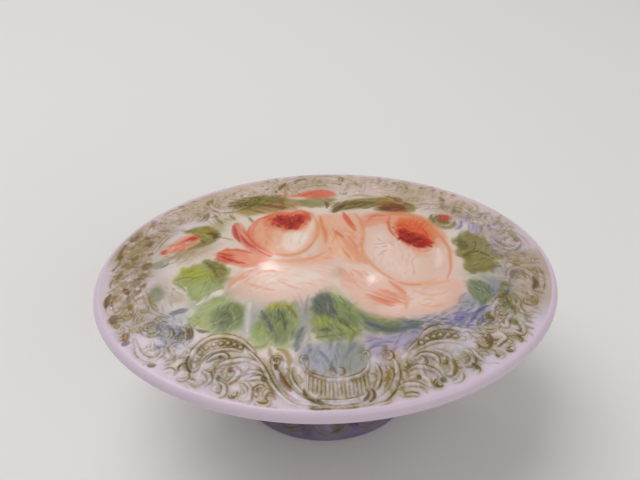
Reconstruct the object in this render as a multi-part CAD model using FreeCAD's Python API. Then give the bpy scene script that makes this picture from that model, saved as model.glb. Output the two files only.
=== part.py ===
# Oval pill box in glazed porcelain: a shallow domed lid that lifts straight off a footed bowl.
#
# Both pieces are turned about Z as if they were round and then narrowed along Y to the oval,
# so every radius below is measured along the long axis, X.
# Origin: centre of the foot, on the surface that the box stands on. +X runs along the oval.
import FreeCAD, Part
import math
import os

# --- overall sizes, mm ---
lid_length = 80.0
lid_width = 64.0
oval = lid_width / lid_length
lid_radius = lid_length / 2
rim_height = 29.8          # the lid's widest line, above the table
dome_rise = 4.2            # the top of the dome, above that line

# --- lid ---
lip_round = 1.3            # half-round edge of the lid
seat_drop = 1.2            # flat underside of the lid, below the widest line
seat_height = rim_height - seat_drop
band_width = 2.4           # plain band inside the edge
band_rise = 0.1
lid_wall = 2.4
ring_depth = 3.0           # locating ring that drops into the bowl's mouth
ring_wall = 2.2
ring_gap = 0.4             # play between the ring and the mouth
ceiling_edge_drop = 1.6    # the ceiling under the dome is this much lower at the ring

# --- bowl ---
mouth_radius = 34.6        # outside of the mouth, under the lid's overhang
bowl_wall = 2.6
mouth_depth = 3.4          # straight stretch inside the mouth
mouth_band = 1.0           # straight stretch outside it
foot_radius = 16.4
foot_edge = 0.8            # rounding of the foot's edge
foot_ground = 0.1          # ground off the rounding where the foot stands
foot_spread = 2.6          # height up to which the foot's side stays steep
stem_radius = 17.0         # where the waist turns into the belly
stem_height = 8.2
waist_pull = (12.6, 4.0)   # (radius, height) that the waist's curve is drawn towards
belly_low_pull = (21.4, 12.4)
belly_high_pull = (33.2, 19.6)
recess_radius = 13.0       # hollow under the foot
recess_depth = 2.4
recess_wall = 0.6          # straight edge of that hollow
bowl_floor = 7.2           # the lowest point inside
well_side_pull = (27.8, 19.0)
well_floor_pull = 15.0     # radius out to which the floor inside stays level
trim = 5.0                 # how far a blank runs past the plane that cuts it flat

mouth_inner = mouth_radius - bowl_wall
ring_outer = mouth_inner - ring_gap
ring_inner = ring_outer - ring_wall
ring_bottom = seat_height - ring_depth
dome_top = rim_height + dome_rise


def point(radius, height):
    """A point of a half section, in the XZ plane."""
    return FreeCAD.Vector(radius, 0, height)


def line(start, end):
    return Part.makeLine(point(*start), point(*end))


def arc(start, middle, end):
    return Part.Arc(point(*start), point(*middle), point(*end)).toShape()


def bezier(*poles):
    """A smooth curve that leaves its first pole towards the second, and so on at its end."""
    curve = Part.BezierCurve()
    curve.setPoles([point(*pole) for pole in poles])
    return curve.toShape()


def turned(edges):
    """Turn a closed half section about Z and narrow it to the oval."""
    face = Part.Face(Part.Wire(edges))
    solid = face.revolve(FreeCAD.Vector(0, 0, 0), FreeCAD.Vector(0, 0, 1), 360)
    squeeze = FreeCAD.Matrix()
    squeeze.scale(1, oval, 1)
    return solid.transformGeometry(squeeze)


def oval_disc(radius, low, high):
    """A flat-ended oval prism between two heights."""
    ellipse = Part.Ellipse(FreeCAD.Vector(0, 0, low), radius, radius * oval)
    face = Part.Face(Part.Wire(ellipse.toShape()))
    return face.extrude(FreeCAD.Vector(0, 0, high - low))


def slab(low, high):
    """A block wider than the box between two heights, which cuts blanks to flat faces."""
    corner = FreeCAD.Vector(-lid_length, -lid_length, low)
    return Part.makeBox(2 * lid_length, 2 * lid_length, high - low, corner)


def dome_height(radius, edge_radius, edge_height, top_height):
    """Height of a shallow dome that falls from its top to its edge as a parabola."""
    return top_height - (top_height - edge_height) * (radius / edge_radius) ** 2


def lid_blank():
    """Dome, plain band and half-round edge, over a blank that runs below the seat."""
    edge_centre = lid_radius - lip_round
    band_inner = lid_radius - lip_round - band_width
    lip_top = rim_height + lip_round
    band_top = lip_top + band_rise
    half_way = band_inner / 2
    half_height = dome_height(half_way, band_inner, band_top, dome_top)
    low = seat_height - trim
    return turned([
        arc((0, dome_top), (half_way, half_height), (band_inner, band_top)),
        line((band_inner, band_top), (edge_centre, lip_top)),
        arc((edge_centre, lip_top), (lid_radius, rim_height), (edge_centre, rim_height - lip_round)),
        line((edge_centre, rim_height - lip_round), (edge_centre, low)),
        line((edge_centre, low), (0, low)),
        line((0, low), (0, dome_top)),
    ])


def lid_hollow():
    """Space inside the locating ring, up to the ceiling under the dome."""
    top = dome_top - lid_wall
    edge = top - ceiling_edge_drop
    half_way = ring_inner / 2
    half_height = dome_height(half_way, ring_inner, edge, top)
    low = ring_bottom - trim
    return turned([
        line((0, low), (ring_inner, low)),
        line((ring_inner, low), (ring_inner, edge)),
        arc((ring_inner, edge), (half_way, half_height), (0, top)),
        line((0, top), (0, low)),
    ])


def make_lid():
    plate = lid_blank().common(slab(seat_height, dome_top + trim))
    ring = oval_disc(ring_outer, ring_bottom, seat_height + lip_round)
    return plate.fuse(ring).cut(lid_hollow()).removeSplitter()


def bowl_outside():
    """Half section of the outside: spreading foot, waist, and an S-curve up to the mouth."""
    edge_centre = foot_radius - foot_edge
    edge_height = foot_edge - foot_ground
    slant = foot_edge * math.sqrt(0.5)
    band_bottom = seat_height - mouth_band
    return [
        line((edge_centre, -trim), (edge_centre, -foot_ground)),
        arc((edge_centre, -foot_ground), (edge_centre + slant, edge_height - slant),
            (foot_radius, edge_height)),
        bezier((foot_radius, edge_height), (foot_radius, foot_spread), waist_pull,
               (stem_radius, stem_height)),
        bezier((stem_radius, stem_height), belly_low_pull, belly_high_pull, (mouth_radius, band_bottom)),
        line((mouth_radius, band_bottom), (mouth_radius, seat_height + trim)),
    ]


def bowl_inside():
    """Half section of the inside, from the mouth down: straight mouth, round-bottomed well."""
    well_top = seat_height - mouth_depth
    return [
        line((mouth_inner, seat_height + trim), (mouth_inner, well_top)),
        bezier((mouth_inner, well_top), well_side_pull, (well_floor_pull, bowl_floor), (0, bowl_floor)),
    ]


def foot_recess():
    """Half section of the shallow hollow under the foot, from its middle outwards."""
    half_way = recess_radius / 2
    half_height = dome_height(half_way, recess_radius, recess_wall, recess_depth)
    return [
        arc((0, recess_depth), (half_way, half_height), (recess_radius, recess_wall)),
        line((recess_radius, recess_wall), (recess_radius, -trim)),
    ]


def make_bowl():
    """The whole section in one turn, then ground flat at the foot and at the mouth."""
    mouth_blank = line((mouth_radius, seat_height + trim), (mouth_inner, seat_height + trim))
    core = line((0, bowl_floor), (0, recess_depth))
    foot_blank = line((recess_radius, -trim), (foot_radius - foot_edge, -trim))
    section = bowl_outside() + [mouth_blank] + bowl_inside() + [core] + foot_recess() + [foot_blank]
    return turned(section).common(slab(0, seat_height)).removeSplitter()


def export(shape, node):
    """Write one piece as a STEP file, after checking that it is one closed solid."""
    if len(shape.Solids) != 1 or not shape.isValid():
        raise RuntimeError(node + " is not one valid solid")
    shape.Solids[0].exportStep("parts/" + node + ".step")
    print("%s: %.1f cm3" % (node, shape.Volume / 1000))


os.makedirs("parts", exist_ok=True)
export(make_bowl(), "bowl")
export(make_lid(), "lid")
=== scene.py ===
# Looks of the oval pill box: glazed lid with painted roses and a moulded scroll border, and its footed bowl.
#
# Lengths are in millimetres until a mesh is made, except where a name says metres.
# The lid is painted in plan, x to the right and y to the back. The bowl is painted on its unrolled side,
# x along the wall from the middle of the front and y up the wall from the foot.
import math

import bpy
import numpy as np
from mathutils import Matrix, Vector


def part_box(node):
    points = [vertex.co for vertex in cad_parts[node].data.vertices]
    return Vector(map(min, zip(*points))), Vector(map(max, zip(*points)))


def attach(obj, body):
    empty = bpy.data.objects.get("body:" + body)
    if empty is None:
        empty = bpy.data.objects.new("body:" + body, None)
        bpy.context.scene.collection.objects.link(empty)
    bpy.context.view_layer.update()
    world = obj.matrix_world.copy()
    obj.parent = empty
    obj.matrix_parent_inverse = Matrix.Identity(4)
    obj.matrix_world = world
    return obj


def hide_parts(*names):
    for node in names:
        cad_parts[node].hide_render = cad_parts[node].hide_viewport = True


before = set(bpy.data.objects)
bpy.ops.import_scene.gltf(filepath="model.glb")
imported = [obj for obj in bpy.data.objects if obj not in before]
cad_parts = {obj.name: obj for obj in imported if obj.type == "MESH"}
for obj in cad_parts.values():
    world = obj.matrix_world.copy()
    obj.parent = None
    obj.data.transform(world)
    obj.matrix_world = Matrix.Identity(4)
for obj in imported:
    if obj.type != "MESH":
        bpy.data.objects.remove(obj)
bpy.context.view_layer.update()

MM = 0.001
rng = np.random.default_rng(11)

# --- sizes taken from the frame, mm ---
lid_low, lid_high = [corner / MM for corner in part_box("lid")]
bowl_low, bowl_high = [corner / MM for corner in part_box("bowl")]
LID_RADIUS = (lid_high.x - lid_low.x) / 2
OVAL = (lid_high.y - lid_low.y) / (lid_high.x - lid_low.x)
DOME_TOP = lid_high.z
RING_BOTTOM = lid_low.z
MOUTH_RADIUS = (bowl_high.x - bowl_low.x) / 2
SEAT = bowl_high.z

# --- the lid's section ---
LIP_ROUND = 1.3
RIM_HEIGHT = SEAT + 1.2
BAND_WIDTH = 2.4
BAND_RISE = 0.1
LIP_CENTRE = LID_RADIUS - LIP_ROUND
BAND_INNER = LIP_CENTRE - BAND_WIDTH
RING_WALL = 2.2
RING_OUTER = MOUTH_RADIUS - 3.0
RING_INNER = RING_OUTER - RING_WALL
RING_EDGE = 0.5
CEILING_TOP = DOME_TOP - 2.4
CEILING_DROP = 1.6

# --- the bowl's section ---
BOWL_WALL = 2.6
MOUTH_INNER = MOUTH_RADIUS - BOWL_WALL
MOUTH_EDGE = 0.35
BAND_BOTTOM = SEAT - 1.0
WELL_TOP = SEAT - 3.4
FOOT_RADIUS = 16.4
FOOT_EDGE = 0.8
STEM = (17.0, 8.2)
WAIST_PULLS = ((16.4, 2.6), (12.6, 4.0))
BELLY_PULLS = ((21.4, 12.4), (33.2, 19.6))
WELL_PULLS = ((27.8, 19.0), (15.0, 7.2))
BOWL_FLOOR = 7.2
RECESS_RADIUS = 13.0
RECESS_DEPTH = 2.4
RECESS_WALL = 0.6
RECESS_SLOPE = 0.2

# --- fineness of the meshes: numbers of rings, and of vertices round a ring ---
LID_RINGS = 240
LID_RING_GROWTH = 6
LID_UNDER = 240
LIP_RINGS = 14
EDGE_RINGS = 5
CEILING_RINGS = 24
BOWL_AROUND = 640
BOWL_INSIDE = 240
RECESS_RINGS = 12
GROUND_RING = RECESS_RINGS + 1
WAIST_RINGS = 44
BELLY_RINGS = 96
WELL_RINGS = 40

# --- the bowl's painted side, unrolled at this radius ---
UNROLLED_RADIUS = 25.0
SIDE_STEPS = 1600
OVERLAP_STEPS = 80
FOOT_LOBES = 12
MOUTH_SWAGS = 14
FOOT_DABS = 90

PAINTS = {
    "cream": (218, 202, 190), "white": (236, 228, 220), "inside white": (240, 236, 234),
    "warm white": (238, 216, 204), "lilac": (194, 188, 200), "lip": (216, 198, 214),
    "bone": (215, 201, 216), "blush": (226, 190, 174), "pale pink": (228, 180, 162),
    "peach": (230, 172, 138), "soft peach": (234, 196, 168), "coral": (212, 94, 59),
    "light coral": (222, 128, 96), "salmon": (224, 146, 112), "rose red": (200, 61, 37),
    "red": (173, 32, 17), "dark red": (121, 9, 7), "orange": (222, 92, 44), "amber": (216, 126, 74),
    "brick": (200, 88, 58), "olive": (122, 106, 44), "dark olive": (88, 70, 26), "umber": (88, 56, 19),
    "ochre": (147, 118, 50), "rust": (139, 81, 37), "bark": (114, 63, 24), "moss": (120, 112, 52),
    "leaf": (140, 155, 86), "spring": (170, 170, 62), "pale leaf": (170, 184, 130), "grass": (115, 130, 74),
    "sage": (109, 121, 81), "pine": (80, 85, 48), "slate": (81, 88, 92), "blue grey": (130, 136, 149),
    "steel": (90, 97, 119), "blue": (65, 77, 146), "violet": (72, 68, 115), "lavender": (154, 141, 175),
    "mauve": (168, 142, 162), "mist": (167, 167, 173), "plum": (94, 66, 96), "smoke": (118, 107, 92),
    "tan": (169, 144, 112), "pale tan": (216, 190, 168), "shaded foot lilac": (122, 110, 138),
}


def paint_of(name):
    return np.array(PAINTS[name]) / 255


def mixed(first, second, share):
    """All of the first at share 0, all of the second at share 1."""
    return first * (1 - share) + second * share


def smooth(value, start, end):
    """0 at start, 1 at end, eased between and held outside."""
    t = np.clip((value - start) / (end - start), 0, 1)
    return t * t * (3 - 2 * t)


# --- a sheet's cells and the spacing of points along paths, mm; a curl's points per turn and inner share ---
SHEET_STEP = 0.08
PATH_SPACING = 0.25
OUTLINE_SPACING = 0.6
CURL_POINTS = 14
CURL_INNER = 0.25

# --- paint: sizes of its blotches, streaks and rough edges in mm, and how far they thin it ---
FILL_WANDER = 0.9
FILL_BLOTCH = (0.5, 1.4)
FILL_THINNEST = 0.8
HAIR_LENGTH = 3.5
HAIR_WIDTH = 0.11
HAIR_WIDENING = 0.07
STREAKS = 0.45
STROKE_ROUGHNESS = 0.14
DAB_BLOTCH = 0.6
DAB_THINNEST = 0.72
DAB_COARSE = 1.1
DAB_FINE = 0.35
DAB_ROUGHNESS = 0.3
TIP_SHARE = 0.32

# --- moulding, mm, with the wash round a bead and the share of a ridge's stated height that stands proud ---
BEAD_RADIUS = 0.42
BEAD_HEIGHT = 0.25
BEAD_WASH = 0.7
RIDGE_SHARE = 0.65

# --- wash: how far it lies outside and inside a moulded edge and how far it spreads, how much more of it
# lies on a ridge's left as painted shade on that side, and the sizes of its patches, mm ---
WASH_OUTSIDE = 0.3
WASH_INSIDE = 0.16
SHADED_SIDE_WASH = 0.3
WASH_SPREAD = 0.45
WASH_PATCH = 2.6
WASH_GRAIN = 0.3
WARM_PATCH = 4.3
HOLLOW_SPREAD = 0.5
FULL_HOLLOW = 0.11

# --- the drift: random values on a lattice, and turns that never line up ---
GOLDEN_TURN = 2.39996
LATTICE_SIZE = 128
DRIFT_SPAN = 90
LATTICE = rng.random((LATTICE_SIZE, LATTICE_SIZE))


def drift(u, v):
    """Soft random values between 0 and 1 that change over about one unit."""
    i = np.floor(u).astype(int)
    j = np.floor(v).astype(int)
    fu = smooth(u - i, 0, 1)
    fv = smooth(v - j, 0, 1)
    i0, i1 = i % LATTICE_SIZE, (i + 1) % LATTICE_SIZE
    j0, j1 = j % LATTICE_SIZE, (j + 1) % LATTICE_SIZE
    low = mixed(LATTICE[i0, j0], LATTICE[i1, j0], fu)
    high = mixed(LATTICE[i0, j1], LATTICE[i1, j1], fu)
    return mixed(low, high, fv)


def random_start():
    """A random place in the drift, so that no two strokes share their streaks."""
    return rng.random() * DRIFT_SPAN


def trace(points, spacing=PATH_SPACING):
    """A smooth path through the points."""
    p = np.array(points, float)
    ends = np.vstack([2 * p[0] - p[1], p, 2 * p[-1] - p[-2]])
    runs = []
    for a, b, c, d in zip(ends, ends[1:], ends[2:], ends[3:]):
        count = max(2, int(np.hypot(*(c - b)) / spacing) + 1)
        t = np.linspace(0, 1, count, endpoint=False)[:, None]
        bend, twist = a - 2.5 * b + 2 * c - d / 2, 1.5 * (b - c) + (d - a) / 2
        runs.append(b + (c - a) * t / 2 + bend * t**2 + twist * t**3)
    return np.vstack(runs + [p[-1:]])


def curl(x, y, radius, start, turns):
    """A spiral that winds inwards from its start angle, in degrees; negative turns wind clockwise."""
    t = np.linspace(0, 1, max(6, int(abs(turns) * CURL_POINTS)))
    angle = np.radians(start + 360 * turns * t)
    r = radius * (1 - (1 - CURL_INNER) * t)
    return [(x + a, y + b) for a, b in zip(r * np.cos(angle), r * np.sin(angle))]


def flipped(points, side):
    """The points as they are for side 1, and mirrored from front to back for side -1."""
    return [(x, y * side) for x, y in points]


def blurred(field, cells):
    """The field smoothed by a bell curve of that many cells."""
    rows = np.fft.fftfreq(field.shape[0])[:, None]
    columns = np.fft.rfftfreq(field.shape[1])[None]
    fall = np.exp(-2 * (math.pi * cells) ** 2 * (rows**2 + columns**2))
    return np.fft.irfft2(np.fft.rfft2(field) * fall, field.shape)


class Sheet:
    """Paint and moulded relief laid out flat: colour, relief in mm, and how much dark wash lies where."""

    def __init__(self, low, high, step=SHEET_STEP):
        self.low = np.array(low, float)
        self.step = step
        self.columns, self.rows = np.ceil((np.array(high) - self.low) / step).astype(int) + 1
        self.x = self.low[0] + step * np.arange(self.columns)[None]
        self.y = self.low[1] + step * np.arange(self.rows)[:, None]
        self.colour = np.ones((self.rows, self.columns, 3))
        self.relief = np.zeros((self.rows, self.columns))
        self.wash = np.zeros((self.rows, self.columns))

    def window(self, low, high):
        """Slices of the places between two corners, with their x and y."""
        first = np.floor((np.array(low) - self.low) / self.step).astype(int).clip(0)
        last = np.ceil((np.array(high) - self.low) / self.step).astype(int).clip(0) + 1
        place = slice(first[1], last[1]), slice(first[0], last[0])
        return place, self.x[:, place[1]], self.y[place[0]]

    def follow(self, path, reach):
        """Where places lie along a path: how far away, how far to its left, at what share of its length."""
        place, x, y = self.window(path.min(0) - reach, path.max(0) + reach)
        away = np.full((y.shape[0], x.shape[1]), 1e3)
        side = np.zeros_like(away)
        along = np.zeros_like(away)
        lengths = np.hypot(*np.diff(path, axis=0).T)
        starts = np.cumsum(lengths) - lengths
        for a, b, length, start in zip(path, path[1:], lengths, starts):
            if x.size == 0 or y.size == 0 or length == 0:
                continue
            corner = np.minimum(a, b) - reach - (x[0, 0], y[0, 0])
            size = np.abs(b - a) + 2 * reach
            first = (corner / self.step).astype(int).clip(0)
            last = ((corner + size) / self.step).astype(int).clip(0) + 2
            part = slice(first[1], last[1]), slice(first[0], last[0])
            dx = x[:, part[1]] - a[0]
            dy = y[part[0]] - a[1]
            ux, uy = (b - a) / length
            t = np.clip(dx * ux + dy * uy, 0, length)
            gap = np.hypot(dx - t * ux, dy - t * uy)
            nearer = gap < away[part]
            away[part][nearer] = gap[nearer]
            side[part][nearer] = (dy * ux - dx * uy)[nearer]
            along[part][nearer] = (start + t)[nearer]
        return place, away, side, along / lengths.sum(), lengths.sum()

    def blend(self, place, colour, alpha):
        alpha = np.clip(alpha, 0, 1)[..., None]
        self.colour[place] = mixed(self.colour[place], colour, alpha)

    def fill(self, paint, points, opacity=0.8, soft=1.0, ragged=0.5):
        """A closed patch of paint with soft, slightly wandering edges."""
        path = trace([*points, points[0]], OUTLINE_SPACING)
        reach = soft + OUTLINE_SPACING
        away = self.follow(path, reach)[1]
        place, x, y = self.window(path.min(0) - reach, path.max(0) + reach)
        inside = np.zeros(away.shape, bool)
        for (x0, y0), (x1, y1) in zip(path, path[1:]):
            if y0 != y1:
                inside ^= ((y0 > y) != (y1 > y)) & (x < x0 + (y - y0) * (x1 - x0) / (y1 - y0))
        seed = random_start()
        wander = ragged * (drift(x / FILL_WANDER + seed, y / FILL_WANDER) - 0.5)
        depth = np.where(inside, np.minimum(away, soft * 2), -away) + wander
        blotches = drift(x / FILL_BLOTCH[0] + seed, y / FILL_BLOTCH[1])
        mottle = mixed(FILL_THINNEST, 1, blotches)
        self.blend(place, paint_of(paint), opacity * smooth(depth, -soft / 2, soft / 2) * mottle)

    def stroke(self, paint, width, points, opacity=0.85, soft=0.9, taper=0.5, side_paint=None):
        """One pull of a brush: thin at its ends, streaked, perhaps with a second colour on its left."""
        path = trace(points)
        place, away, side, along, length = self.follow(path, width * 0.75)
        half = np.maximum(width / 2 * swell(along, taper), 0.01)
        seed = random_start()
        hair = HAIR_WIDTH + width * HAIR_WIDENING
        hairs = drift(side / hair + seed, along * length / HAIR_LENGTH + seed)
        ragged = STROKE_ROUGHNESS * (drift(side / 0.6 + seed, along * length / 0.7) - 0.5)
        alpha = opacity * smooth(away / half + ragged, 1, 1 - soft) * (1 - STREAKS * hairs)
        colour = paint_of(paint)
        if side_paint is not None:
            mix = smooth(side / half + (hairs - 0.5) * 0.6, -0.4, 0.7)[..., None]
            colour = mixed(colour, paint_of(side_paint), mix)
        self.blend(place, colour, alpha)

    def patch(self, paint, x, y, rx, ry, opacity=0.6, turn=0, soft=0.7):
        """A soft dab of paint, rx by ry before it is turned."""
        reach = max(rx, ry) * 1.5
        place, px, py = self.window((x - reach, y - reach), (x + reach, y + reach))
        c, s = math.cos(math.radians(turn)), math.sin(math.radians(turn))
        dx, dy = px - x, py - y
        seed = random_start()
        coarse = drift(px / DAB_COARSE + seed, py / DAB_COARSE)
        rough = coarse + 0.5 * drift(px / DAB_FINE, py / DAB_FINE + seed) - 0.75
        edge = np.hypot((dx * c + dy * s) / rx, (dy * c - dx * s) / ry) + DAB_ROUGHNESS * rough
        mottle = mixed(DAB_THINNEST, 1, drift(px / DAB_BLOTCH + seed, py / DAB_BLOTCH))
        self.blend(place, paint_of(paint), opacity * smooth(edge, 1.15, 1.15 - soft) * mottle)

    def bristle(self, paints, x, y, rx, ry, heading, count, width=0.45, opacity=0.5, spread=60):
        """Short pulls of a stiff brush scattered over an oval, all about one way."""
        for k in range(count):
            turn, out = k * GOLDEN_TURN, math.sqrt((k + 0.5) / count)
            px, py = x + rx * out * math.cos(turn), y + ry * out * math.sin(turn)
            lean = math.radians(heading + spread * (rng.random() - 0.5))
            reach = (0.5 + 0.8 * rng.random()) * min(1.0, (rx + ry) / 3)
            dx, dy = reach * math.cos(lean), reach * math.sin(lean)
            bow = 0.4 * (rng.random() - 0.5)
            points = [(px - dx, py - dy), (px + bow * dy, py - bow * dx), (px + dx, py + dy)]
            paint = paints[int(rng.random() * len(paints))]
            thickness = width * (0.5 + rng.random())
            self.stroke(paint, thickness, points, opacity * (0.5 + 0.7 * rng.random()))

    def ridge(self, width, height, points, taper=0.4, wash=0.8):
        """A moulded line that stands proud, with dark wash along both its sides, and more on its left as
        painted shade.
        """
        path = trace(points)
        place, away, side, along, length = self.follow(path, width + 0.4)
        full = swell(along, taper)
        half = np.maximum(width / 2 * full, 0.02)
        round_top = np.sqrt(np.clip(1 - (away / half) ** 2, 0, 1))
        self.relief[place] = np.maximum(self.relief[place], RIDGE_SHARE * height * round_top)
        seed = random_start()
        lay = drift(along * length / 1.3 + seed, side * 0.4 + seed)
        outside = away - half
        line = smooth(outside, WASH_OUTSIDE, 0.08) * smooth(outside, -WASH_INSIDE, 0.02) * full
        # more wash on the ridge's left side: painted shade
        line = line * (1 + SHADED_SIDE_WASH * np.sign(side)) * (0.15 + 1.1 * lay)
        kept = self.wash[place] * smooth(outside, -WASH_INSIDE, 0.04)
        self.wash[place] = np.maximum(kept, wash * line)

    def bead(self, x, y, radius=BEAD_RADIUS, height=BEAD_HEIGHT):
        """A moulded bead with wash round it."""
        reach = radius * 2
        place, px, py = self.window((x - reach, y - reach), (x + reach, y + reach))
        gap = np.hypot(px - x, py - y)
        ball = height * np.sqrt(np.clip(1 - (gap / radius) ** 2, 0, 1))
        self.relief[place] = np.maximum(self.relief[place], ball)
        ring = smooth(gap, radius + WASH_OUTSIDE, radius + 0.05) * smooth(gap, radius - 0.2, radius)
        kept = self.wash[place] * smooth(gap, radius - 0.25, radius)
        self.wash[place] = np.maximum(kept, BEAD_WASH * ring)

    def settle(self, amount):
        """Brush olive wash over the moulding: thin round it, darker in its hollows and along its lines."""
        depth = blurred(self.relief, HOLLOW_SPREAD / self.step) - self.relief
        hollow = np.clip(depth / FULL_HOLLOW, 0, 1)
        broad = blurred(self.wash, WASH_SPREAD / self.step)
        patchy = smooth(drift(self.x / WASH_PATCH + 7, self.y / WASH_PATCH + 3), 0.1, 0.8)
        fine = drift(self.x / WASH_GRAIN, self.y / WASH_GRAIN)
        thin = (1.05 * broad + 0.3 * hollow) * (0.3 + 0.8 * patchy) * (0.5 + 0.8 * fine)
        line = self.wash * (0.25 + 0.85 * patchy) * (0.7 + 0.4 * fine)
        warm = smooth(drift(self.x / WARM_PATCH + 31, self.y / WARM_PATCH + 17), 0.4, 0.8)[..., None]
        colour = mixed(paint_of("olive"), paint_of("ochre"), warm)
        everywhere = slice(None), slice(None)
        self.blend(everywhere, colour, amount * np.clip(thin, 0, 0.7))
        self.blend(everywhere, mixed(paint_of("dark olive"), colour, 0.3), amount * line)

    def close(self, turn, margin):
        """Let the sheet meet itself after one turn: what runs on past its end is faded in at its start."""
        start, shift, count = (round(length / self.step) for length in (margin, turn, margin))
        share = smooth(np.arange(count), count, 0)
        for field in (self.colour, self.relief):
            first = field[:, start:start + count]
            again = field[:, start + shift:start + shift + count]
            first += (again - first) * (share[:, None] if field.ndim == 3 else share)

    def sample(self, field, x, y):
        """The field's values at places between its cells."""
        u = np.clip((x - self.low[0]) / self.step, 0, self.columns - 1.001)
        v = np.clip((y - self.low[1]) / self.step, 0, self.rows - 1.001)
        i, j = u.astype(int), v.astype(int)
        fu, fv = u - i, v - j
        if field.ndim == 3:
            fu, fv = fu[:, None], fv[:, None]
        low = mixed(field[j, i], field[j, i + 1], fu)
        high = mixed(field[j + 1, i], field[j + 1, i + 1], fu)
        return mixed(low, high, fv)


def swell(along, taper):
    """How full a stroke is along its length: thin at both ends, by more for a larger taper."""
    return np.clip(np.minimum(along, 1 - along) / TIP_SHARE, 0, 1) ** taper


# ---------------------------------------------------------------- the lid's painting

# Thin washes laid first, as (paint, x, y, half length, half width, opacity, turn).
HAZES = [
    ("sage", -19, -9, 7.5, 6.5, 0.45, 35), ("sage", -8, -15, 7.0, 5.4, 0.55, 0),
    ("sage", 2, -15, 7.0, 5.8, 0.55, 0), ("blue grey", -13, -14, 3.4, 5.0, 0.55, 0),
    ("blue grey", -4, -15, 3.0, 5.0, 0.50, 0), ("tan", -24, 5, 6.5, 4.5, 0.85, 10),
    ("moss", -19, 12, 4.5, 3.0, 0.45, 50), ("tan", -28, -6, 4.0, 5.0, 0.40, 0),
    ("blue grey", -25, -14, 5.0, 3.6, 0.45, -35), ("blue grey", 10, -17, 9.0, 3.2, 0.55, 8),
    ("tan", 25, 14, 5.0, 4.0, 0.60, -40), ("blue grey", 22, -12, 6.0, 4.0, 0.55, 35),
    ("sage", 27, -6, 4.5, 6.0, 0.45, 20), ("tan", -10, 18, 9.0, 3.6, 0.50, 10),
    ("tan", 10, 18, 10.0, 3.0, 0.50, -8), ("tan", 30, 6, 3.0, 6.0, 0.45, 15),
    ("blue grey", -1, -22, 7.0, 3.6, 0.45, 0),
]


def paint_rose_ground(sheet):
    """The blush that both roses and their fallen petals stand on."""
    sheet.fill("blush", [(-15, -4), (-16, 4), (-12, 12), (-6, 14), (2, 13), (8, 13.6), (16, 13), (21, 8),
        (22.6, 0), (22, -8), (18, -13), (8, -14), (3, -9), (-3, -9.4), (-10, -9.6)], 0.75, 3.5)
    sheet.fill("warm white", [(-14, -5), (-9, -2), (-3, -2), (4, -3), (2, -7), (-3, -9), (-9, -9.6)], 0.6,
        3.0)


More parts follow.
